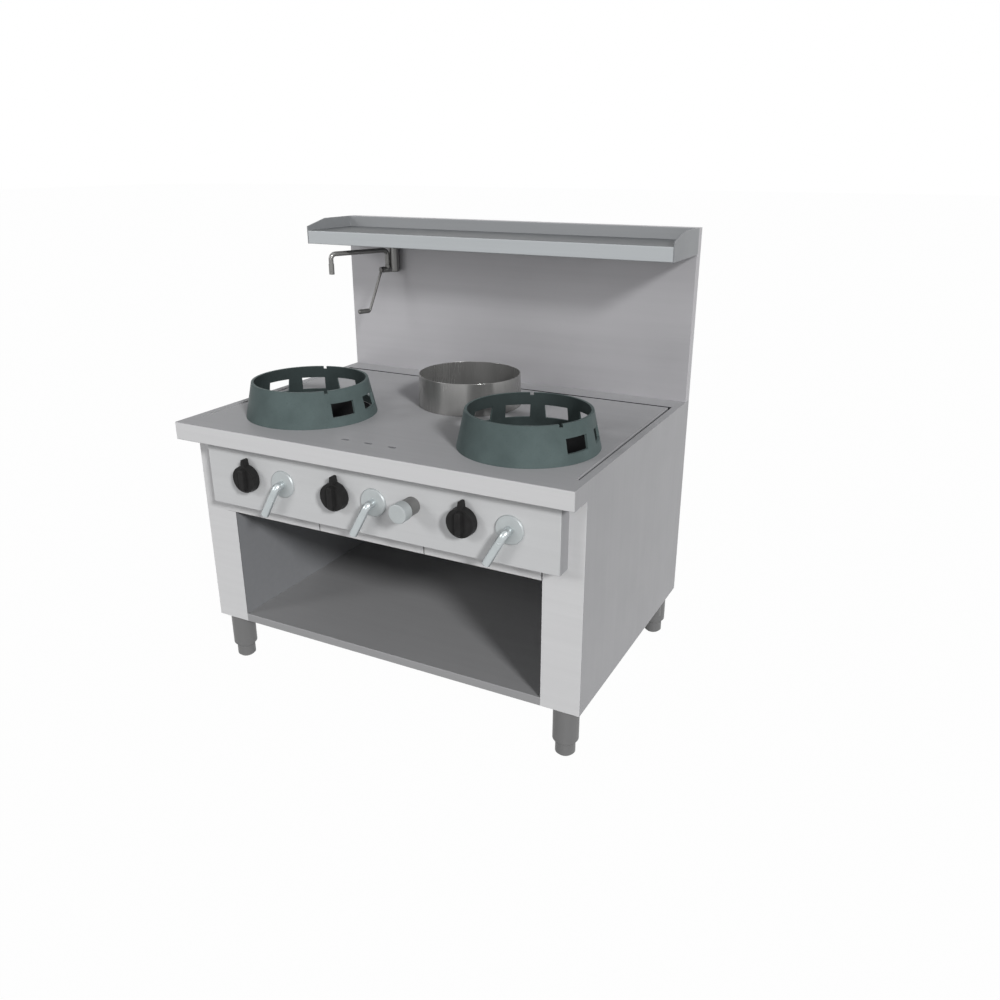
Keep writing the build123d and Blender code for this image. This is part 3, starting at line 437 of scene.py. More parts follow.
MERGED = 0.002 * MM  # vertices of a piece that are closer than this are one
CAD_MERGED = 0.005 * MM  # the same for a copy of a CAD mesh
ON_LINE = 0.05 * MM  # how near to a box's edge the ends of a fold are
LONG_EDGE = 12 * MM  # shorter cut edges of a sheet stay as they are
FLAT = math.radians(0.4)  # facets that meet at less than this are one face
FACING, WALL = 0.75, 0.7  # least cosines between a face's normal and where it looks
CREASE = math.radians(32.0)  # edges that turn by more than this stay sharp
ARC_STEPS = 8  # segments of each bend in a bar


def sizes():
    return bpy.context.scene.range_sizes


def joint(name):
    """The frame's joint of that name: its place and its direction."""
    row = next(j for j in frame["joints"] if j["name"] == name)
    return Vector(row["pos_m"]), Vector(row["axis"]).normalized()


def dress(finish_name, *nodes):
    """Give CAD nodes that stay as they are their finish."""
    for node in nodes:
        for slot in frame["nodes"][node].material_slots:
            slot.material = finish(finish_name)


def meshed(bm, name):
    """The bmesh as a new mesh; the bmesh is freed."""
    mesh = bpy.data.meshes.new(name)
    bm.to_mesh(mesh)
    bm.free()
    return mesh


def put(name, data):
    """A new object in the scene."""
    made = bpy.data.objects.new(name, data)
    bpy.context.scene.collection.objects.link(made)
    return made


def piece(bm, name, finish_name, node, others=()):
    """The bmesh as a finished piece that rides with a CAD node's body and stands for it.

    Others lists further finishes, each with the test that picks its faces.
    """
    bmesh.ops.remove_doubles(bm, verts=bm.verts, dist=MERGED)
    bmesh.ops.recalc_face_normals(bm, faces=bm.faces)
    for face in bm.faces:
        for place, (_, has_it) in enumerate(others, 1):
            if has_it(face.normal, face.calc_center_median()):
                face.material_index = place
    mesh = meshed(bm, name)
    mesh.polygons.foreach_set("use_smooth", [True] * len(mesh.polygons))
    mesh.set_sharp_from_angle(angle=CREASE)
    for each in (finish_name, *(other for other, _ in others)):
        mesh.materials.append(finish(each))
    made = put(name, mesh)
    weighted = made.modifiers.new("Even shading", "WEIGHTED_NORMAL")
    weighted.keep_sharp = True
    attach(made, frame["nodes"][node]["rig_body"])
    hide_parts(node)
    return made


def looking(direction):
    """A test for faces that look in a direction."""
    return lambda normal, centre: normal.dot(direction) > FACING


def rounded(bm, radius, edges=None, *, segments, corner):
    """Round the edges whose faces meet at more than the corner angle."""
    sharp = [
        edge
        for edge in (bm.edges if edges is None else edges)
        if edge.is_valid and edge.is_manifold and edge.calc_face_angle(0.0) > math.radians(corner)
    ]
    if sharp:
        bmesh.ops.bevel(
            bm,
            geom=sharp,
            offset=radius,
            offset_type="OFFSET",
            segments=segments,
            profile=0.5,
            affect="EDGES",
            clamp_overlap=True,
            material=-1,
        )


def copied(node):
    """A copy of a CAD node's mesh, merged, with its flat faces joined up."""
    bm = bmesh.new()
    bm.from_mesh(frame["nodes"][node].data)
    bmesh.ops.remove_doubles(bm, verts=bm.verts, dist=CAD_MERGED)
    bmesh.ops.dissolve_limit(
        bm, angle_limit=FLAT, verts=bm.verts, edges=bm.edges, delimit={"NORMAL"}
    )
    return bm


# each side of a box: its axis and its end
BOX_SIDES = {"left": (0, 0), "right": (0, 1), "front": (1, 0), "bottom": (2, 0), "top": (2, 1)}


def on_fold(edge, box, fold):
    """Whether an edge lies where two sides of a box meet, as in front top."""
    return all(
        abs(vert.co[axis] - box[end][axis]) < ON_LINE
        for vert in edge.verts
        for axis, end in (BOX_SIDES[side] for side in fold.split())
    )


def sheet_metal(node, finish_name, folds=(), others=(), cut=None):
    """A folded sheet: its outer folds get the fold radius and its long cut edges a fine one.

    Cut is a height at which the faces are split, for a change of finish, such as a painted shade
    above it.
    """
    bm = copied(node)
    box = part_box(node)
    outer = [edge for edge in bm.edges if any(on_fold(edge, box, fold) for fold in folds)]
    rounded(bm, sizes().fold, outer, segments=3, corner=60.0)
    long_edges = [edge for edge in bm.edges if edge.calc_length() > LONG_EDGE]
    rounded(bm, sizes().sheet_edge, long_edges, segments=1, corner=60.0)
    if cut:
        parts = [*bm.faces, *bm.edges, *bm.verts]
        bmesh.ops.bisect_plane(bm, geom=parts, plane_co=UP * cut, plane_no=UP)
    return piece(bm, f"{node}_sheet", finish_name, node, others=others)


def added(bm, known):
    """The vertices that the bmesh has besides the known ones."""
    return [vert for vert in bm.verts if vert not in known]


def aimed(origin, axis):
    """A frame at origin whose own z runs along axis."""
    return Matrix.Translation(origin) @ Vector(axis).to_track_quat("Z", "Y").to_matrix().to_4x4()


def facing_front(x, y, z):
    """A frame that looks to the front, with its own y pointing up."""
    return Matrix(((1, 0, 0, x), (0, 0, -1, y), (0, 1, 0, z), (0, 0, 0, 1)))


def turned(bm, profile, matrix, closed=False, steps=64):
    """Spin a profile of radius and height about the frame's own z."""
    known = set(bm.verts)
    verts = [bm.verts.new((radius, 0, height)) for radius, height in profile]
    ring = verts + verts[:1] if closed else verts
    edges = [bm.edges.new(pair) for pair in zip(ring, ring[1:])]
    bmesh.ops.spin(
        bm,
        geom=verts + edges,
        cent=(0, 0, 0),
        axis=(0, 0, 1),
        dvec=(0, 0, 0),
        angle=FULL_TURN,
        steps=steps,
        use_merge=True,
    )
    bmesh.ops.remove_doubles(bm, verts=added(bm, known), dist=MERGED)
    bmesh.ops.transform(bm, matrix=matrix, verts=added(bm, known))


def boss(bm, radius, height, matrix):
    """A short cylinder with its far edge bevelled."""
    neck, brink = radius - 1 * MM, height - 1 * MM
    profile = [(0, 0), (radius, 0), (radius, brink), (neck, height), (0, height)]
    turned(bm, profile, matrix, steps=40)


def bar(bm, start, end, radius, sides=32):
    """A round bar from start to end, capped at both ends."""
    along = Vector(end) - Vector(start)
    bmesh.ops.create_cone(
        bm,
        cap_ends=True,
        segments=sides,
        radius1=radius,
        radius2=radius,
        depth=along.length,
        matrix=aimed(Vector(start) + along / 2, along),
    )


def bent_bar(bm, points, radius, bend, sides=28):
    """A round bar along straight runs that are joined by arcs of one bend radius."""
    points = [Vector(point) for point in points]
    ways = [(after - before).normalized() for before, after in zip(points, points[1:])]
    turns = [first.angle(second) for first, second in zip(ways, ways[1:])]
    trims = [0.0, *(bend * math.tan(turn / 2) for turn in turns), 0.0]
    known = set(bm.verts)
    bmesh.ops.create_circle(
        bm, cap_ends=False, radius=radius, segments=sides, matrix=aimed(points[0], ways[0])
    )
    ring = added(bm, known)
    edges = list(dict.fromkeys(edge for vert in ring for edge in vert.link_edges))
    ends = list(edges)
    for place, way in enumerate(ways):
        run = (points[place + 1] - points[place]).length - trims[place] - trims[place + 1]
        pulled = bmesh.ops.extrude_edge_only(bm, edges=edges)["geom"]
        ring = [part for part in pulled if isinstance(part, bmesh.types.BMVert)]
        edges = [part for part in pulled if isinstance(part, bmesh.types.BMEdge)]
        edges = [edge for edge in edges if all(vert in ring for vert in edge.verts)]
        bmesh.ops.translate(bm, vec=way * run, verts=ring)
        if place < len(turns):
            axis = way.cross(ways[place + 1]).normalized()
            corner = points[place + 1] - way * trims[place + 1]
            spun = bmesh.ops.spin(
                bm,
                geom=ring + edges,
                cent=corner + axis.cross(way) * bend,
                axis=axis,
                dvec=(0, 0, 0),
                angle=turns[place],
                steps=ARC_STEPS,
            )["geom_last"]
            ring = [part for part in spun if isinstance(part, bmesh.types.BMVert)]
            edges = [part for part in spun if isinstance(part, bmesh.types.BMEdge)]
    bmesh.ops.edgeloop_fill(bm, edges=ends)
    bmesh.ops.edgeloop_fill(bm, edges=edges)


def middle(low, high):
    return (low + high) / 2


# ---------------------------------------------------------------- pieces


class WOK_OT_steel_body(bpy.types.Operator):
    """Fold the side panels and set the inner walls and the rear panel"""

    bl_idname = "wok_range.steel_body"
    bl_label = "Steel body"

    def execute(self, context):
        for side in SIDES:
            folds = (f"{side} front", f"{side} bottom")
            # A side panel's faces that look sideways get the darker side tone, painted shade; its
            # front faces keep the body steel.
            front = [("body_steel", looking(FRONT))]
            sheet_metal(f"side_panel_{side}", "side_steel", folds, front)
            # The inner walls and the rear panel get the cabinet's darker tone: painted shade.
            sheet_metal(f"inner_wall_{side}", "cabinet_steel")
        sheet_metal("rear_panel", "cabinet_steel")
        return {"FINISHED"}


class WOK_OT_cabinet_floor(bpy.types.Operator):
    """Fold the cabinet floor with its front lip"""

    bl_idname = "wok_range.cabinet_floor"
    bl_label = "Cabinet floor"

    def execute(self, context):
        # The cabinet's floor gets a darker tone: painted shade.
        sheet_metal("cabinet_floor", "floor_steel", ("front top",))
        return {"FINISHED"}


class WOK_OT_worktop(bpy.types.Operator):
    """Fold the worktop, with its gutter, burner openings and rinse slots"""

    bl_idname = "wok_range.worktop"
    bl_label = "Worktop"

    def execute(self, context):
        low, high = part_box("worktop")
        rim = 8 * MM
        side_run = high.x - 50 * MM
        rear_run = high.y - 160 * MM
        bottom, brink = high.z - 12 * MM, high.z - 0.3 * MM

        def in_gutter(normal, centre):
            within = low.x + rim < centre.x < high.x - rim and centre.y > low.y + rim
            return within and bottom < centre.z < brink

        def on_side_run(normal, centre):
            at_side = abs(centre.x) > side_run and abs(normal.x) > WALL
            return in_gutter(normal, centre) and at_side

        def on_rear_run(normal, centre):
            at_rear = centre.y > rear_run and normal.y < -WALL
            return in_gutter(normal, centre) and at_rear

        def in_slot(normal, centre):
            in_front = abs(centre.x) < side_run and centre.y < middle(low, high).y
            return in_gutter(normal, centre) and in_front

        # Each kind of face gets its own tone of the steel, painted light and shade: the front
        # faces keep the body steel, the sideways faces and the top are darker, the gutter, its
        # rear wall and the rinse slots darker still, and the gutter's side walls lighter.
        others = [
            ("body_steel", looking(FRONT)),
            ("side_steel", looking(RIGHT)),
            ("side_steel", looking(-RIGHT)),
            ("gutter_steel", in_gutter),
            ("groove_steel", on_side_run),
            ("shaded_steel", on_rear_run),
            ("cabinet_steel", in_slot),
        ]
        sheet_metal("worktop", "deck_steel", ("front top", "front bottom"), others)
        return {"FINISHED"}


class WOK_OT_back_wall(bpy.types.Operator):
    """Fold the backsplash and the shelf and cut the shelf's gussets"""

    bl_idname = "wok_range.back_wall"
    bl_label = "Backsplash and shelf"

    def execute(self, context):
        shelf_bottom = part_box("shelf")[0].z

        # The backsplash's front above the shelf gets a darker tone: painted shade.
        def above_shelf(normal, centre):
            return normal.y < -WALL and centre.z > shelf_bottom

        folds = ("front top", "left front", "right front")
        above = [("headwall_steel", above_shelf)]
        sheet_metal("backsplash", "splash_steel", folds, above, cut=shelf_bottom)
        folds = ("front top", "front bottom")
        # The shelf's upper face gets a darker tone: painted shade.
        sheet_metal("shelf", "shelf_steel", folds, [("tray_steel", looking(UP))])
        # The gussets' darker tone is painted shade.
        sheet_metal("shelf_gussets", "upper_steel")
        return {"FINISHED"}


class WOK_OT_control_panel(bpy.types.Operator):
    """Fold the control panel's cover"""

    bl_idname = "wok_range.control_panel"
    bl_label = "Control panel"

    def execute(self, context):
        folds = ("left front", "right front", "front bottom", "front top")
        # The panel's ends get the darker side tone: painted shade.
        ends = [("side_steel", looking(RIGHT)), ("side_steel", looking(-RIGHT))]
        sheet_metal("control_panel", "panel_steel", folds, ends)
        return {"FINISHED"}


class WOK_OT_knobs(bpy.types.Operator):
    """Mould the three knobs with their skirt, pointer and raised grip"""

    bl_idname = "wok_range.knobs"
    bl_label = "Knobs"

    draft = 0.90  # width of the grip at its waist, as a share of its foot
    waist = 0.45  # where the waist lies, as a share of the grip's height

    def execute(self, context):
        s = sizes()
        rim, top = s.knob_radius, s.knob_disc
        drawn_in, lip, dish = 1.5 * MM, 6 * MM, 1 * MM
        skirt = [
            (0.0, 0.0),
            (rim, 0.0),
            (rim, 3 * MM),
            (rim - drawn_in, top),
            (rim - lip, top),
            (rim - lip - 2 * dish, top - dish),
            (0.0, top - dish),
        ]
        for name in PLACES:
            low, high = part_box(f"knob_{name}")
            axis_z = low.z + rim
            bm = bmesh.new()
            turned(bm, skirt, Matrix.Identity(4), steps=72)
            rounded(bm, s.machined_edge, segments=2, corner=25.0)
            self.grip(bm, 2 * rim - top / 2, s.grip_width, top - 2 * dish, high.y - low.y)
            self.pointer(bm, s, rim, high.z - axis_z)
            place = facing_front(middle(low, high).x, high.y, axis_z)
            bmesh.ops.transform(bm, matrix=place, verts=bm.verts)
            piece(bm, f"knob_{name}_moulding", "black_plastic", f"knob_{name}")
        return {"FINISHED"}

    def grip(self, bm, tall, wide, start, end):
        """A bar with round ends, drawn in towards its front for finger and thumb."""
        centred = 1e-6
        known = set(bm.verts)
        bmesh.ops.create_circle(bm, cap_ends=True, radius=wide / 2, segments=24)
        for vert in added(bm, known):
            if abs(vert.co.y) > centred:
                vert.co.y += math.copysign((tall - wide) / 2, vert.co.y)
        flat = [vert for vert in added(bm, known) if abs(vert.co.y) < centred]
        bmesh.ops.dissolve_verts(bm, verts=flat)
        face = next(f for f in bm.faces if all(vert not in known for vert in f.verts))
        middle_level = start + (end - start) * self.waist
        levels = ((start, 1.0), (middle_level, self.draft), (end, self.draft * 0.97))
        for vert in face.verts:
            vert.co.z = start
        for (below, _), (level, scale) in zip(levels, levels[1:]):
            face = bmesh.ops.extrude_discrete_faces(bm, faces=[face])["faces"][0]
            bmesh.ops.translate(bm, vec=(0, 0, level - below), verts=face.verts)
            drawn = Matrix.Diagonal((scale, (1 + scale) / 2, 1, 1))
            bmesh.ops.transform(bm, matrix=drawn, verts=face.verts)
        rounded(bm, 2.2 * MM, list(face.edges), segments=3, corner=50.0)

    def pointer(self, bm, s, rim, reach):
        """A wedge that stands out of the skirt at the top."""
        known = set(bm.verts)
        base = rim - (reach - rim) / 2
        wide, narrow = s.nib_width / 2, s.nib_width / 4
        outline = [(-wide, base), (wide, base), (narrow, reach), (-narrow, reach)]
        face = bm.faces.new([bm.verts.new((x, y, 0.5 * MM)) for x, y in outline])
        top = bmesh.ops.extrude_discrete_faces(bm, faces=[face])["faces"][0]
        bmesh.ops.translate(bm, vec=(0, 0, s.knob_disc - 1.5 * MM), verts=top.verts)
        wedge = [edge for edge in bm.edges if all(vert not in known for vert in edge.verts)]
        rounded(bm, 1.4 * MM, wedge, segments=2, corner=50.0)


class WOK_OT_gas_levers(bpy.types.Operator):
    """Bend the three plated levers and turn their round flanges"""

    bl_idname = "wok_range.gas_levers"
    bl_label = "Gas levers"

    stem, bore = 5 * MM, 5.3 * MM  # the levers' stems and the flanges' holes, as radii
    gap = 0.3 * MM  # between the flanges and the bars in front of them
    reach = 0.98  # how far the bars end beyond the middle of the CAD tips, in radii

    def execute(self, context):
        s = sizes()
        radius = s.lever_radius
        flange_low, flange_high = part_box("lever_rosettes")
        rim = (flange_high.z - flange_low.z) / 2
        thick = flange_high.y - flange_low.y
        back = flange_low.y - self.gap
        bore, bevel = self.bore, 2.4 * MM
        flange = [(bore, 0), (rim, 0), (rim, thick * 0.4), (rim - bevel, thick), (bore, thick)]
        flanges = bmesh.new()
        for name in PLACES:
            pivot, _ = joint(f"lever_{name}_turn")
            low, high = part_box(f"gas_lever_{name}")
            front = low.y + radius
            tip = Vector((low.x + radius, front, low.z + radius))
            way = Vector((tip.x - pivot.x, 0, tip.z - pivot.z)).normalized()
            end = tip + way * radius * self.reach
            bm = bmesh.new()
            points = [(pivot.x, back, pivot.z), (pivot.x, front, pivot.z), end]
            bent_bar(bm, points, radius, s.lever_bend)
            tips = [
                edge
                for edge in bm.edges
                if (middle(*(vert.co for vert in edge.verts)) - end).length < radius * 1.5
            ]
            rounded(bm, 2 * MM, tips, segments=3, corner=60.0)
            bar(bm, points[0], (pivot.x, high.y, pivot.z), self.stem)
            piece(bm, f"gas_lever_{name}_bar", "chrome", f"gas_lever_{name}")
            turned(flanges, flange, facing_front(pivot.x, flange_high.y, pivot.z), closed=True)
        rounded(flanges, 0.6 * MM, segments=2, corner=20.0)
        piece(flanges, "lever_flanges", "satin_chrome", "lever_rosettes")
        return {"FINISHED"}


class WOK_OT_gas_line(bpy.types.Operator):
    """Finish the manifold, the gas taps and the lever valves"""

    bl_idname = "wok_range.gas_line"
    bl_label = "Gas line"

    def execute(self, context):
        dress("pipe_steel", "gas_manifold")
        for name in PLACES:
            dress("brass", f"gas_tap_{name}", f"lever_valve_{name}")
            dress("polished_steel", f"tap_spindle_{name}")
        return {"FINISHED"}


class WOK_OT_burners(bpy.types.Operator):
    """Press the burner wells and finish the castings, heads, rails and pilots"""

    bl_idname = "wok_range.burners"
    bl_label = "Burners"

    def execute(self, context):
        for name in PLACES:
            sheet_metal(f"burner_well_{name}", "darkened_steel")
            dress("cast_iron", f"burner_{name}")
        dress("cast_iron", "burner_heads")
        dress("pipe_steel", "burner_rails")
        dress("brass", "pilot_burners")
        return {"FINISHED"}


class WOK_OT_wok_rings(bpy.types.Operator):
    """Cast the two wok rings with their windows and rim notches"""

    bl_idname = "wok_range.wok_rings"
    bl_label = "Wok rings"

    windows = (-22.0, 15.0, 52.0, 89.0, 126.0, 163.0)  # azimuths in degrees
    notches = (-37.0, 112.7)
    margin = 18 * MM  # how far beside an opening the wall's faces are split
    inward = 0.6  # how much a face of the ring's inside looks at its axis

    def execute(self, context):
        s = sizes()
        for side in SIDES:
            node = f"wok_ring_{side}"
            low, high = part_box(node)
            base = (high.x - low.x) / 2
            tall = high.z - low.z
            bm = bmesh.new()
            turned(bm, [(base, 0), (base - s.ring_taper, tall)], Matrix.Identity(4), steps=96)
            lintel = s.window_sill + s.window_height
            for azimuth in self.windows:
                self.cut(bm, azimuth, s.window_width / 2, s.window_sill, lintel)
            for azimuth in self.notches:
                self.cut(bm, azimuth, s.notch_width / 2, tall - s.notch_depth, 2 * tall)
            self.thicken(bm, s.ring_wall)
            rounded(bm, s.cast_edge, segments=3, corner=40.0)
            axis = middle(low, high).xy
            bmesh.ops.translate(bm, vec=(*axis, low.z), verts=bm.verts)

            def inside(normal, centre):
                away = (centre.xy - axis).normalized()
                return normal.xy.dot(away) < -self.inward

            piece(bm, f"{node}_casting", "green_enamel", node, others=[("sooted_enamel", inside)])
        return {"FINISHED"}

    def cut(self, bm, azimuth, half, sill, top):
        """Take a straight-sided opening out of the wall round an azimuth."""
        outward = Vector((math.cos(math.radians(azimuth)), math.sin(math.radians(azimuth)), 0))
        along = UP.cross(outward)

        def beside(face, reach):
            centre = face.calc_center_median()
            return centre.dot(outward) > 0 and abs(centre.dot(along)) < reach

        planes = ((along * half, along), (-along * half, along), (UP * sill, UP), (UP * top, UP))
        for place, normal in planes:
            faces = [face for face in bm.faces if beside(face, half + self.margin)]
            parts = (part for face in faces for part in (face, *face.edges, *face.verts))
            near = list(dict.fromkeys(parts))
            bmesh.ops.bisect_plane(bm, geom=near, dist=0.01 * MM, plane_co=place, plane_no=normal)
        gone = [
            face
            for face in bm.faces
            if beside(face, half) and sill < face.calc_center_median().z < top
        ]
        bmesh.ops.delete(bm, geom=gone, context="FACES")

    def thicken(self, bm, wall):
        """Give the skin a wall, drawn level towards the ring's axis."""
        bmesh.ops.recalc_face_normals(bm, faces=bm.faces)
        pulled = bmesh.ops.extrude_face_region(bm, geom=list(bm.faces), use_keep_orig=True)["geom"]
        for vert in (part for part in pulled if isinstance(part, bmesh.types.BMVert)):
            radius = vert.co.xy.length
            vert.co.xy *= (radius - wall) / radius


class WOK_OT_pot_ring(bpy.types.Operator):
    """Roll the pot ring's band"""

    bl_idname = "wok_range.pot_ring"
    bl_label = "Pot ring"

    def execute(self, context):
        s = sizes()
        low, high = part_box("pot_ring")
        base = (high.x - low.x) / 2
        tall = high.z - low.z
        top = base - s.pot_ring_taper
        bm = bmesh.new()
        turned(
            bm,
            [(base - s.pot_ring_wall, 0), (base, 0), (top, tall), (top - s.pot_ring_wall, tall)],
            Matrix.Translation((*middle(low, high).xy, low.z)),
            closed=True,
            steps=112,
        )
        rounded(bm, s.pot_ring_wall * 0.4, segments=2, corner=40.0)
        piece(bm, "pot_ring_band", "ring_steel", "pot_ring")
        return {"FINISHED"}


class WOK_OT_drip_trays(bpy.types.Operator):
    """Fold the drip trays and finish their runners"""

    bl_idname = "wok_range.drip_trays"
    bl_label = "Drip trays"

    def execute(self, context):
        for name in PLACES:
            sheet_metal(f"drip_tray_{name}", "body_steel", ("front bottom",))
        dress("pipe_steel", "tray_runners")
        return {"FINISHED"}


class WOK_OT_deck_tap(bpy.types.Operator):
    """Turn the deck tap's head and finish its body"""

    bl_idname = "wok_range.deck_tap"
    bl_label = "Deck tap"

    def execute(self, context):
        low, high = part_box("tap_head")
        body_low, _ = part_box("water_valve")
        radius = (high.x - low.x) / 2
        centre = middle(low, high)
        thick = body_low.y - low.y
        bm = bmesh.new()
        turned(
            bm,
            [
                (0, 0.3 * MM),
                (radius - 1 * MM, 0.3 * MM),
                (radius, 2 * MM),
                (radius, thick - 3 * MM),
                (radius - 0.9 * MM, thick - 0.9 * MM),
                (radius - 3 * MM, thick),
                (radius * 0.5, thick - 0.6 * MM),
                (0, thick - 0.6 * MM),
            ],
            facing_front(centre.x, body_low.y, centre.z),
        )
        stem = 6 * MM
        bar(bm, (centre.x, body_low.y, centre.z), (centre.x, high.y, centre.z), stem)
        piece(bm, "tap_head_turned", "satin_chrome", "tap_head")
        dress("valve_steel", "water_valve")
        return {"FINISHED"}


class WOK_OT_water_line(bpy.types.Operator):
    """Finish the rinse box, the water pipe and the gutter's drain"""

    bl_idname = "wok_range.water_line"
    bl_label = "Water line"

    def execute(self, context):
        # The rinse box gets the cabinet's darker tone: painted shade.
        dress("cabinet_steel", "rinse_box")
        dress("pipe_steel", "water_pipe")
        dress("foot_steel", "gutter_drain")
        return {"FINISHED"}


class WOK_OT_faucet(bpy.types.Operator):
    """Turn the faucet's column and bend its spout and cranked lever"""

    bl_idname = "wok_range.faucet"
    bl_label = "Faucet"

    gap = 0.3 * MM  # between the faucet's body and the pieces that turn on it

    def execute(self, context):
        s = sizes()
        low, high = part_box("faucet_body")
        hub_end, ahead = joint("faucet_crank_turn")
        riser, _ = joint("spout_swing")
        column_x = high.x - s.column_radius
        out = (column_x - hub_end.x) / ahead.x
        column = Vector((column_x, hub_end.y + out * ahead.y, 0))
        self.body(s, low, high, column, hub_end, ahead, riser)
        self.spout(s, riser, ahead)
        self.crank(s, hub_end, ahead)
        return {"FINISHED"}

    def body(self, s, low, high, column, hub_end, ahead, riser):
        bm = bmesh.new()
        radius = s.column_radius
        tall = high.z - low.z
        turned(
            bm,
            [
                (0, 0),
                (radius - 4 * MM, 0),
                (radius - 1 * MM, 1.2 * MM),
                (radius, 4 * MM),
                (radius, tall - 6 * MM),
                (radius - 1.8 * MM, tall - 1.8 * MM),
                (radius - 6 * MM, tall - 0.2 * MM),
                (0, tall),
            ],
            Matrix.Translation((column.x, column.y, low.z)),
            steps=56,
        )
        hub, neck = s.hub_radius, s.hub_radius - 1 * MM
        far = (hub_end - Vector((column.x, column.y, hub_end.z))).length
        turned(
            bm,
            [
                (0, 0),
                (hub, 0),
                (hub, far - 12 * MM),
                (neck, far - 11 * MM),
                (neck, far - 9 * MM),
                (hub, far - 8 * MM),
                (hub, far - 1 * MM),
                (neck, far),
                (0, far),
            ],
            aimed((column.x, column.y, hub_end.z), ahead),
            steps=40,
        )
        boss(bm, s.seat_radius, s.seat_height, Matrix.Translation((riser.x, riser.y, hub_end.z)))
        stub = 9 * MM
        bar(bm, (column.x, column.y, hub_end.z), (column.x, high.y, hub_end.z), stub)
        piece(bm, "faucet_body_turned", "polished_steel", "faucet_body")

    def spout(self, s, riser, ahead):
        low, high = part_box("faucet_spout")
        level = high.z - s.spout_radius
        foot = joint("faucet_crank_turn")[0].z + s.seat_height + self.gap
        nozzle_y = low.y + 10 * MM
        reach = (riser.y - nozzle_y) / -ahead.y
        end = Vector((riser.x, riser.y, 0)) + ahead * reach
        bm = bmesh.new()
        points = [
            (riser.x, riser.y, foot),
            (riser.x, riser.y, level),
            (end.x, end.y, level),
            (end.x, end.y, low.z + s.nozzle_length * 0.8),
        ]
        bent_bar(bm, points, s.spout_radius, s.spout_bend)
        outer = s.nozzle_radius
        turned(
            bm,
            [
                (s.spout_radius - 1 * MM, 12 * MM),
                (s.spout_radius - 1 * MM, 0.4 * MM),
                (s.spout_radius, 0),
                (outer - 0.8 * MM, 0),
                (outer, 0.8 * MM),
                (outer, s.nozzle_length - 1.5 * MM),
                (outer - 1.5 * MM, s.nozzle_length),
                (s.spout_radius - 0.5 * MM, s.nozzle_length),
                (s.spout_radius - 0.5 * MM, s.nozzle_length - 10 * MM),
            ],
            Matrix.Translation((end.x, end.y, low.z)),
            closed=True,
            steps=40,
        )
        piece(bm, "faucet_spout_tube", "polished_steel", "faucet_spout")

    def crank(self, s, hub_end, ahead):
        low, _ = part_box("faucet_lever")
        grip = s.crank_grip
        bm = bmesh.new()
        start = hub_end + ahead * self.gap
        boss(bm, s.hub_radius, 8 * MM, aimed(start, ahead))
        far = (hub_end.y - low.y) / -ahead.y
        end = hub_end + ahead * (far - 0.5 * MM)
        end.z = low.z + grip
        elbow = end - ahead * s.handle_length
        points = [start + ahead * 4 * MM, elbow, end - ahead * 4 * MM]
        bent_bar(bm, points, s.crank_radius, s.crank_bend, sides=20)
        turned(
            bm,
            [
                (0, 0),
                (s.crank_radius, 0.3 * MM),
                (grip - 1 * MM, 3 * MM),
                (grip, 5 * MM),
                (grip, s.handle_length - 5 * MM),
                (grip - 1.5 * MM, s.handle_length - 2 * MM),
                (0, s.handle_length - 0.5 * MM),
            ],
            aimed(elbow, ahead),
            steps=36,
        )
        bar(bm, hub_end - ahead * 14 * MM, start, s.crank_radius, 20)
        piece(bm, "faucet_lever_crank", "crank_steel", "faucet_lever")


class WOK_OT_legs_and_feet(bpy.types.Operator):
    """Cut the leg tubes and turn the levelling feet"""

    bl_idname = "wok_range.legs_and_feet"
    bl_label = "Legs and feet"

    spindle, bore = 8 * MM, 8.3 * MM  # the feet's spindles and the tubes' holes, as radii

    def execute(self, context):
        tube_low, tube_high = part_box("leg_tubes")
        tube = sizes().leg_radius
        tall = tube_high.z - tube_low.z
        body = tube_low.z
        leg = [
            (self.bore, 0),
            (tube - 3 * MM, 0),
            (tube - 0.9 * MM, 0.9 * MM),
            (tube, 3 * MM),
            (tube, tall - 5 * MM),
            (tube - 0.6 * MM, tall - 4.4 * MM),
            (tube - 0.6 * MM, tall),
            (self.bore, tall),
        ]
        tubes = bmesh.new()
        for node in (f"foot_{end}_{side}" for end in ("front", "rear") for side in SIDES):
            low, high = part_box(node)
            centre = middle(low, high)
            at_leg = Matrix.Translation((centre.x, centre.y, tube_low.z))
            turned(tubes, leg, at_leg, closed=True, steps=56)
            foot = (high.x - low.x) / 2
            profile = [
                (0, 0),
                (foot - 6 * MM, 0),
                (foot, 6 * MM),
                (foot, body - 8 * MM),
                (foot - 1.2 * MM, body - 7 * MM),
                (foot - 1.2 * MM, body - 4 * MM),
                (foot, body - 3 * MM),
                (foot, body - 0.8 * MM),
                (foot - 0.8 * MM, body),
                (self.spindle, body),
                (self.spindle, high.z),
                (0, high.z),
            ]
            bm = bmesh.new()
            turned(bm, profile, Matrix.Translation((centre.x, centre.y, 0)), steps=56)
            piece(bm, f"{node}_turned", "foot_steel", node)
        piece(tubes, "leg_tubes_turned", "foot_steel", "leg_tubes")
        return {"FINISHED"}


class WOK_OT_bolts(bpy.types.Operator):
    """Finish the bolts"""

    bl_idname = "wok_range.bolts"
    bl_label = "Bolts"

    def execute(self, context):
        dress("pipe_steel", "bolts")
        return {"FINISHED"}


# ---------------------------------------------------------------- stage

WHITE = (1.0, 1.0, 1.0, 1.0)
SKY = (0.97, 0.98, 1.0, 1.0)
FLOOR_PAINT = (0.35, 0.35, 0.35, 1.0)
FLOOR_GLOW = 0.985  # how much of the floor is seen as white; the rest shows shadows
FLOOR_HALF = 40.0  # metres from its middle to its edges
FLOOR_DROP = 0.2 * MM  # the floor lies this far under the feet
SENSOR = 36.0  # mm, which the lens's focal length goes with


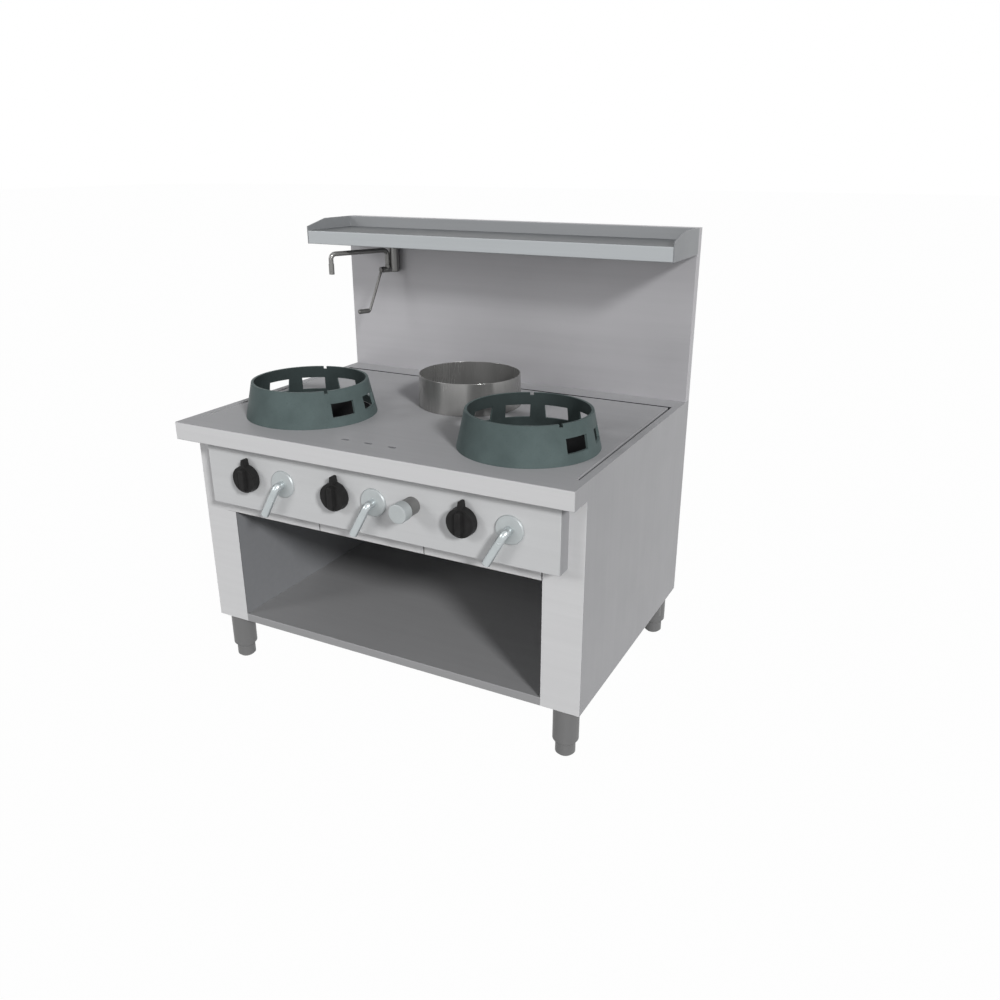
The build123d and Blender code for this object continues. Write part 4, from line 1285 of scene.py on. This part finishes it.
def coloured(tree, kind, paint):
    """A new shader node of that colour."""
    node = tree.nodes.new(kind)
    node.inputs["Color"].default_value = paint
    return node


def shown(tree, output_kind, lit, seen, share):
    """Give the rays that look on a share of the seen shader, and all others the lit one."""
    rays = tree.nodes.new("ShaderNodeLightPath").outputs
    looking_on = rays["Is Camera Ray"]
    for kind in ("Is Glossy Ray", "Is Transmission Ray"):
        looking_on = arithmetic(tree, "MAXIMUM", looking_on, rays[kind])
    mix = tree.nodes.new("ShaderNodeMixShader")
    output = tree.nodes.new(output_kind)
    link(tree, arithmetic(tree, "MULTIPLY", looking_on, share), mix.inputs["Fac"])
    link(tree, lit.outputs[0], mix.inputs[1])
    link(tree, seen.outputs[0], mix.inputs[2])
    link(tree, mix.outputs[0], output.inputs["Surface"])


class WOK_OT_stage(bpy.types.Operator):
    """Set the floor, the lights, the background and the camera"""

    bl_idname = "wok_range.stage"
    bl_label = "Stage"

    def execute(self, context):
        scene = context.scene
        s = scene.stage_settings
        self.camera(scene, s)
        self.sun("key", s.key_from, s.key_strength, s.key_softness)
        self.sun("fill", s.fill_from, s.fill_strength, s.fill_softness)
        self.sun("front", s.front_from, s.front_strength, s.fill_softness)
        self.surroundings(scene, s)
        self.floor()
        scene.view_settings.view_transform = "Standard"
        return {"FINISHED"}

    def camera(self, scene, s):
        lens = bpy.data.cameras.new("view")
        lens.lens = s.lens
        lens.sensor_width = SENSOR
        lens.clip_end = 50.0
        view = put("view", lens)
        view.location = s.camera_at
        view.rotation_euler = Euler((math.pi / 2 - s.elevation, 0.0, s.azimuth))
        scene.camera = view

    def sun(self, name, direction, strength, softness):
        light = bpy.data.lights.new(name, "SUN")
        light.energy = strength
        light.angle = softness
        lamp = put(name, light)
        lamp.rotation_euler = Vector(direction).to_track_quat("Z", "Y").to_euler()

    def surroundings(self, scene, s):
        """White to the camera and in reflections, a soft grey as a light."""
        world = bpy.data.worlds.new("surroundings")
        world.use_nodes = True
        scene.world = world
        tree = world.node_tree
        tree.nodes.clear()
        seen = coloured(tree, "ShaderNodeBackground", WHITE)
        around = coloured(tree, "ShaderNodeBackground", SKY)
        around.inputs["Strength"].default_value = s.ambient
        shown(tree, "ShaderNodeOutputWorld", around, seen, share=1.0)

    def floor(self):
        """White to the camera and in reflections, a grey floor to the light."""
        bm = bmesh.new()
        bmesh.ops.create_grid(bm, x_segments=1, y_segments=1, size=FLOOR_HALF)
        floor = put("floor", meshed(bm, "floor"))
        floor.location.z = -FLOOR_DROP
        material = bpy.data.materials.new("floor")
        material.use_nodes = True
        tree = material.node_tree
        tree.nodes.clear()
        paint = coloured(tree, "ShaderNodeBsdfDiffuse", FLOOR_PAINT)
        glow = coloured(tree, "ShaderNodeEmission", WHITE)
        shown(tree, "ShaderNodeOutputMaterial", paint, glow, share=FLOOR_GLOW)
        floor.data.materials.append(material)


# ---------------------------------------------------------------- the add-on

OPERATORS = (
    WOK_OT_steel_body,
    WOK_OT_cabinet_floor,
    WOK_OT_worktop,
    WOK_OT_back_wall,
    WOK_OT_control_panel,
    WOK_OT_knobs,
    WOK_OT_gas_levers,
    WOK_OT_gas_line,
    WOK_OT_burners,
    WOK_OT_wok_rings,
    WOK_OT_pot_ring,
    WOK_OT_drip_trays,
    WOK_OT_deck_tap,
    WOK_OT_water_line,
    WOK_OT_faucet,
    WOK_OT_legs_and_feet,
    WOK_OT_bolts,
    WOK_OT_stage,
)


class VIEW3D_PT_wok_range(bpy.types.Panel):
    """Lists the range's pieces and settings in the 3D view's sidebar"""

    bl_label = "Wok Range"
    bl_idname = "VIEW3D_PT_wok_range"
    bl_space_type = "VIEW_3D"
    bl_region_type = "UI"
    bl_category = "Wok Range"

    def draw(self, context):
        for operator in OPERATORS:
            self.layout.operator(operator.bl_idname)
        for name, group in GROUPS.items():
            box = self.layout.box()
            for setting in group.__annotations__:
                box.prop(getattr(context.scene, name), setting)


GROUPS = {
    "range_sizes": RangeSizes,
    "range_colours": RangeColours,
    "stage_settings": StageSettings,
}


def register():
    for group in (*GROUPS.values(), *OPERATORS, VIEW3D_PT_wok_range):
        bpy.utils.register_class(group)
    for name, group in GROUPS.items():
        setattr(bpy.types.Scene, name, PointerProperty(type=group))


def unregister():
    for name in GROUPS:
        delattr(bpy.types.Scene, name)
    for group in reversed((*GROUPS.values(), *OPERATORS, VIEW3D_PT_wok_range)):
        bpy.utils.unregister_class(group)


def main():
    """Build everything in order."""
    register()
    for operator in OPERATORS:
        group, name = operator.bl_idname.split(".")
        getattr(getattr(bpy.ops, group), name)()


if __name__ == "__main__":
    main()
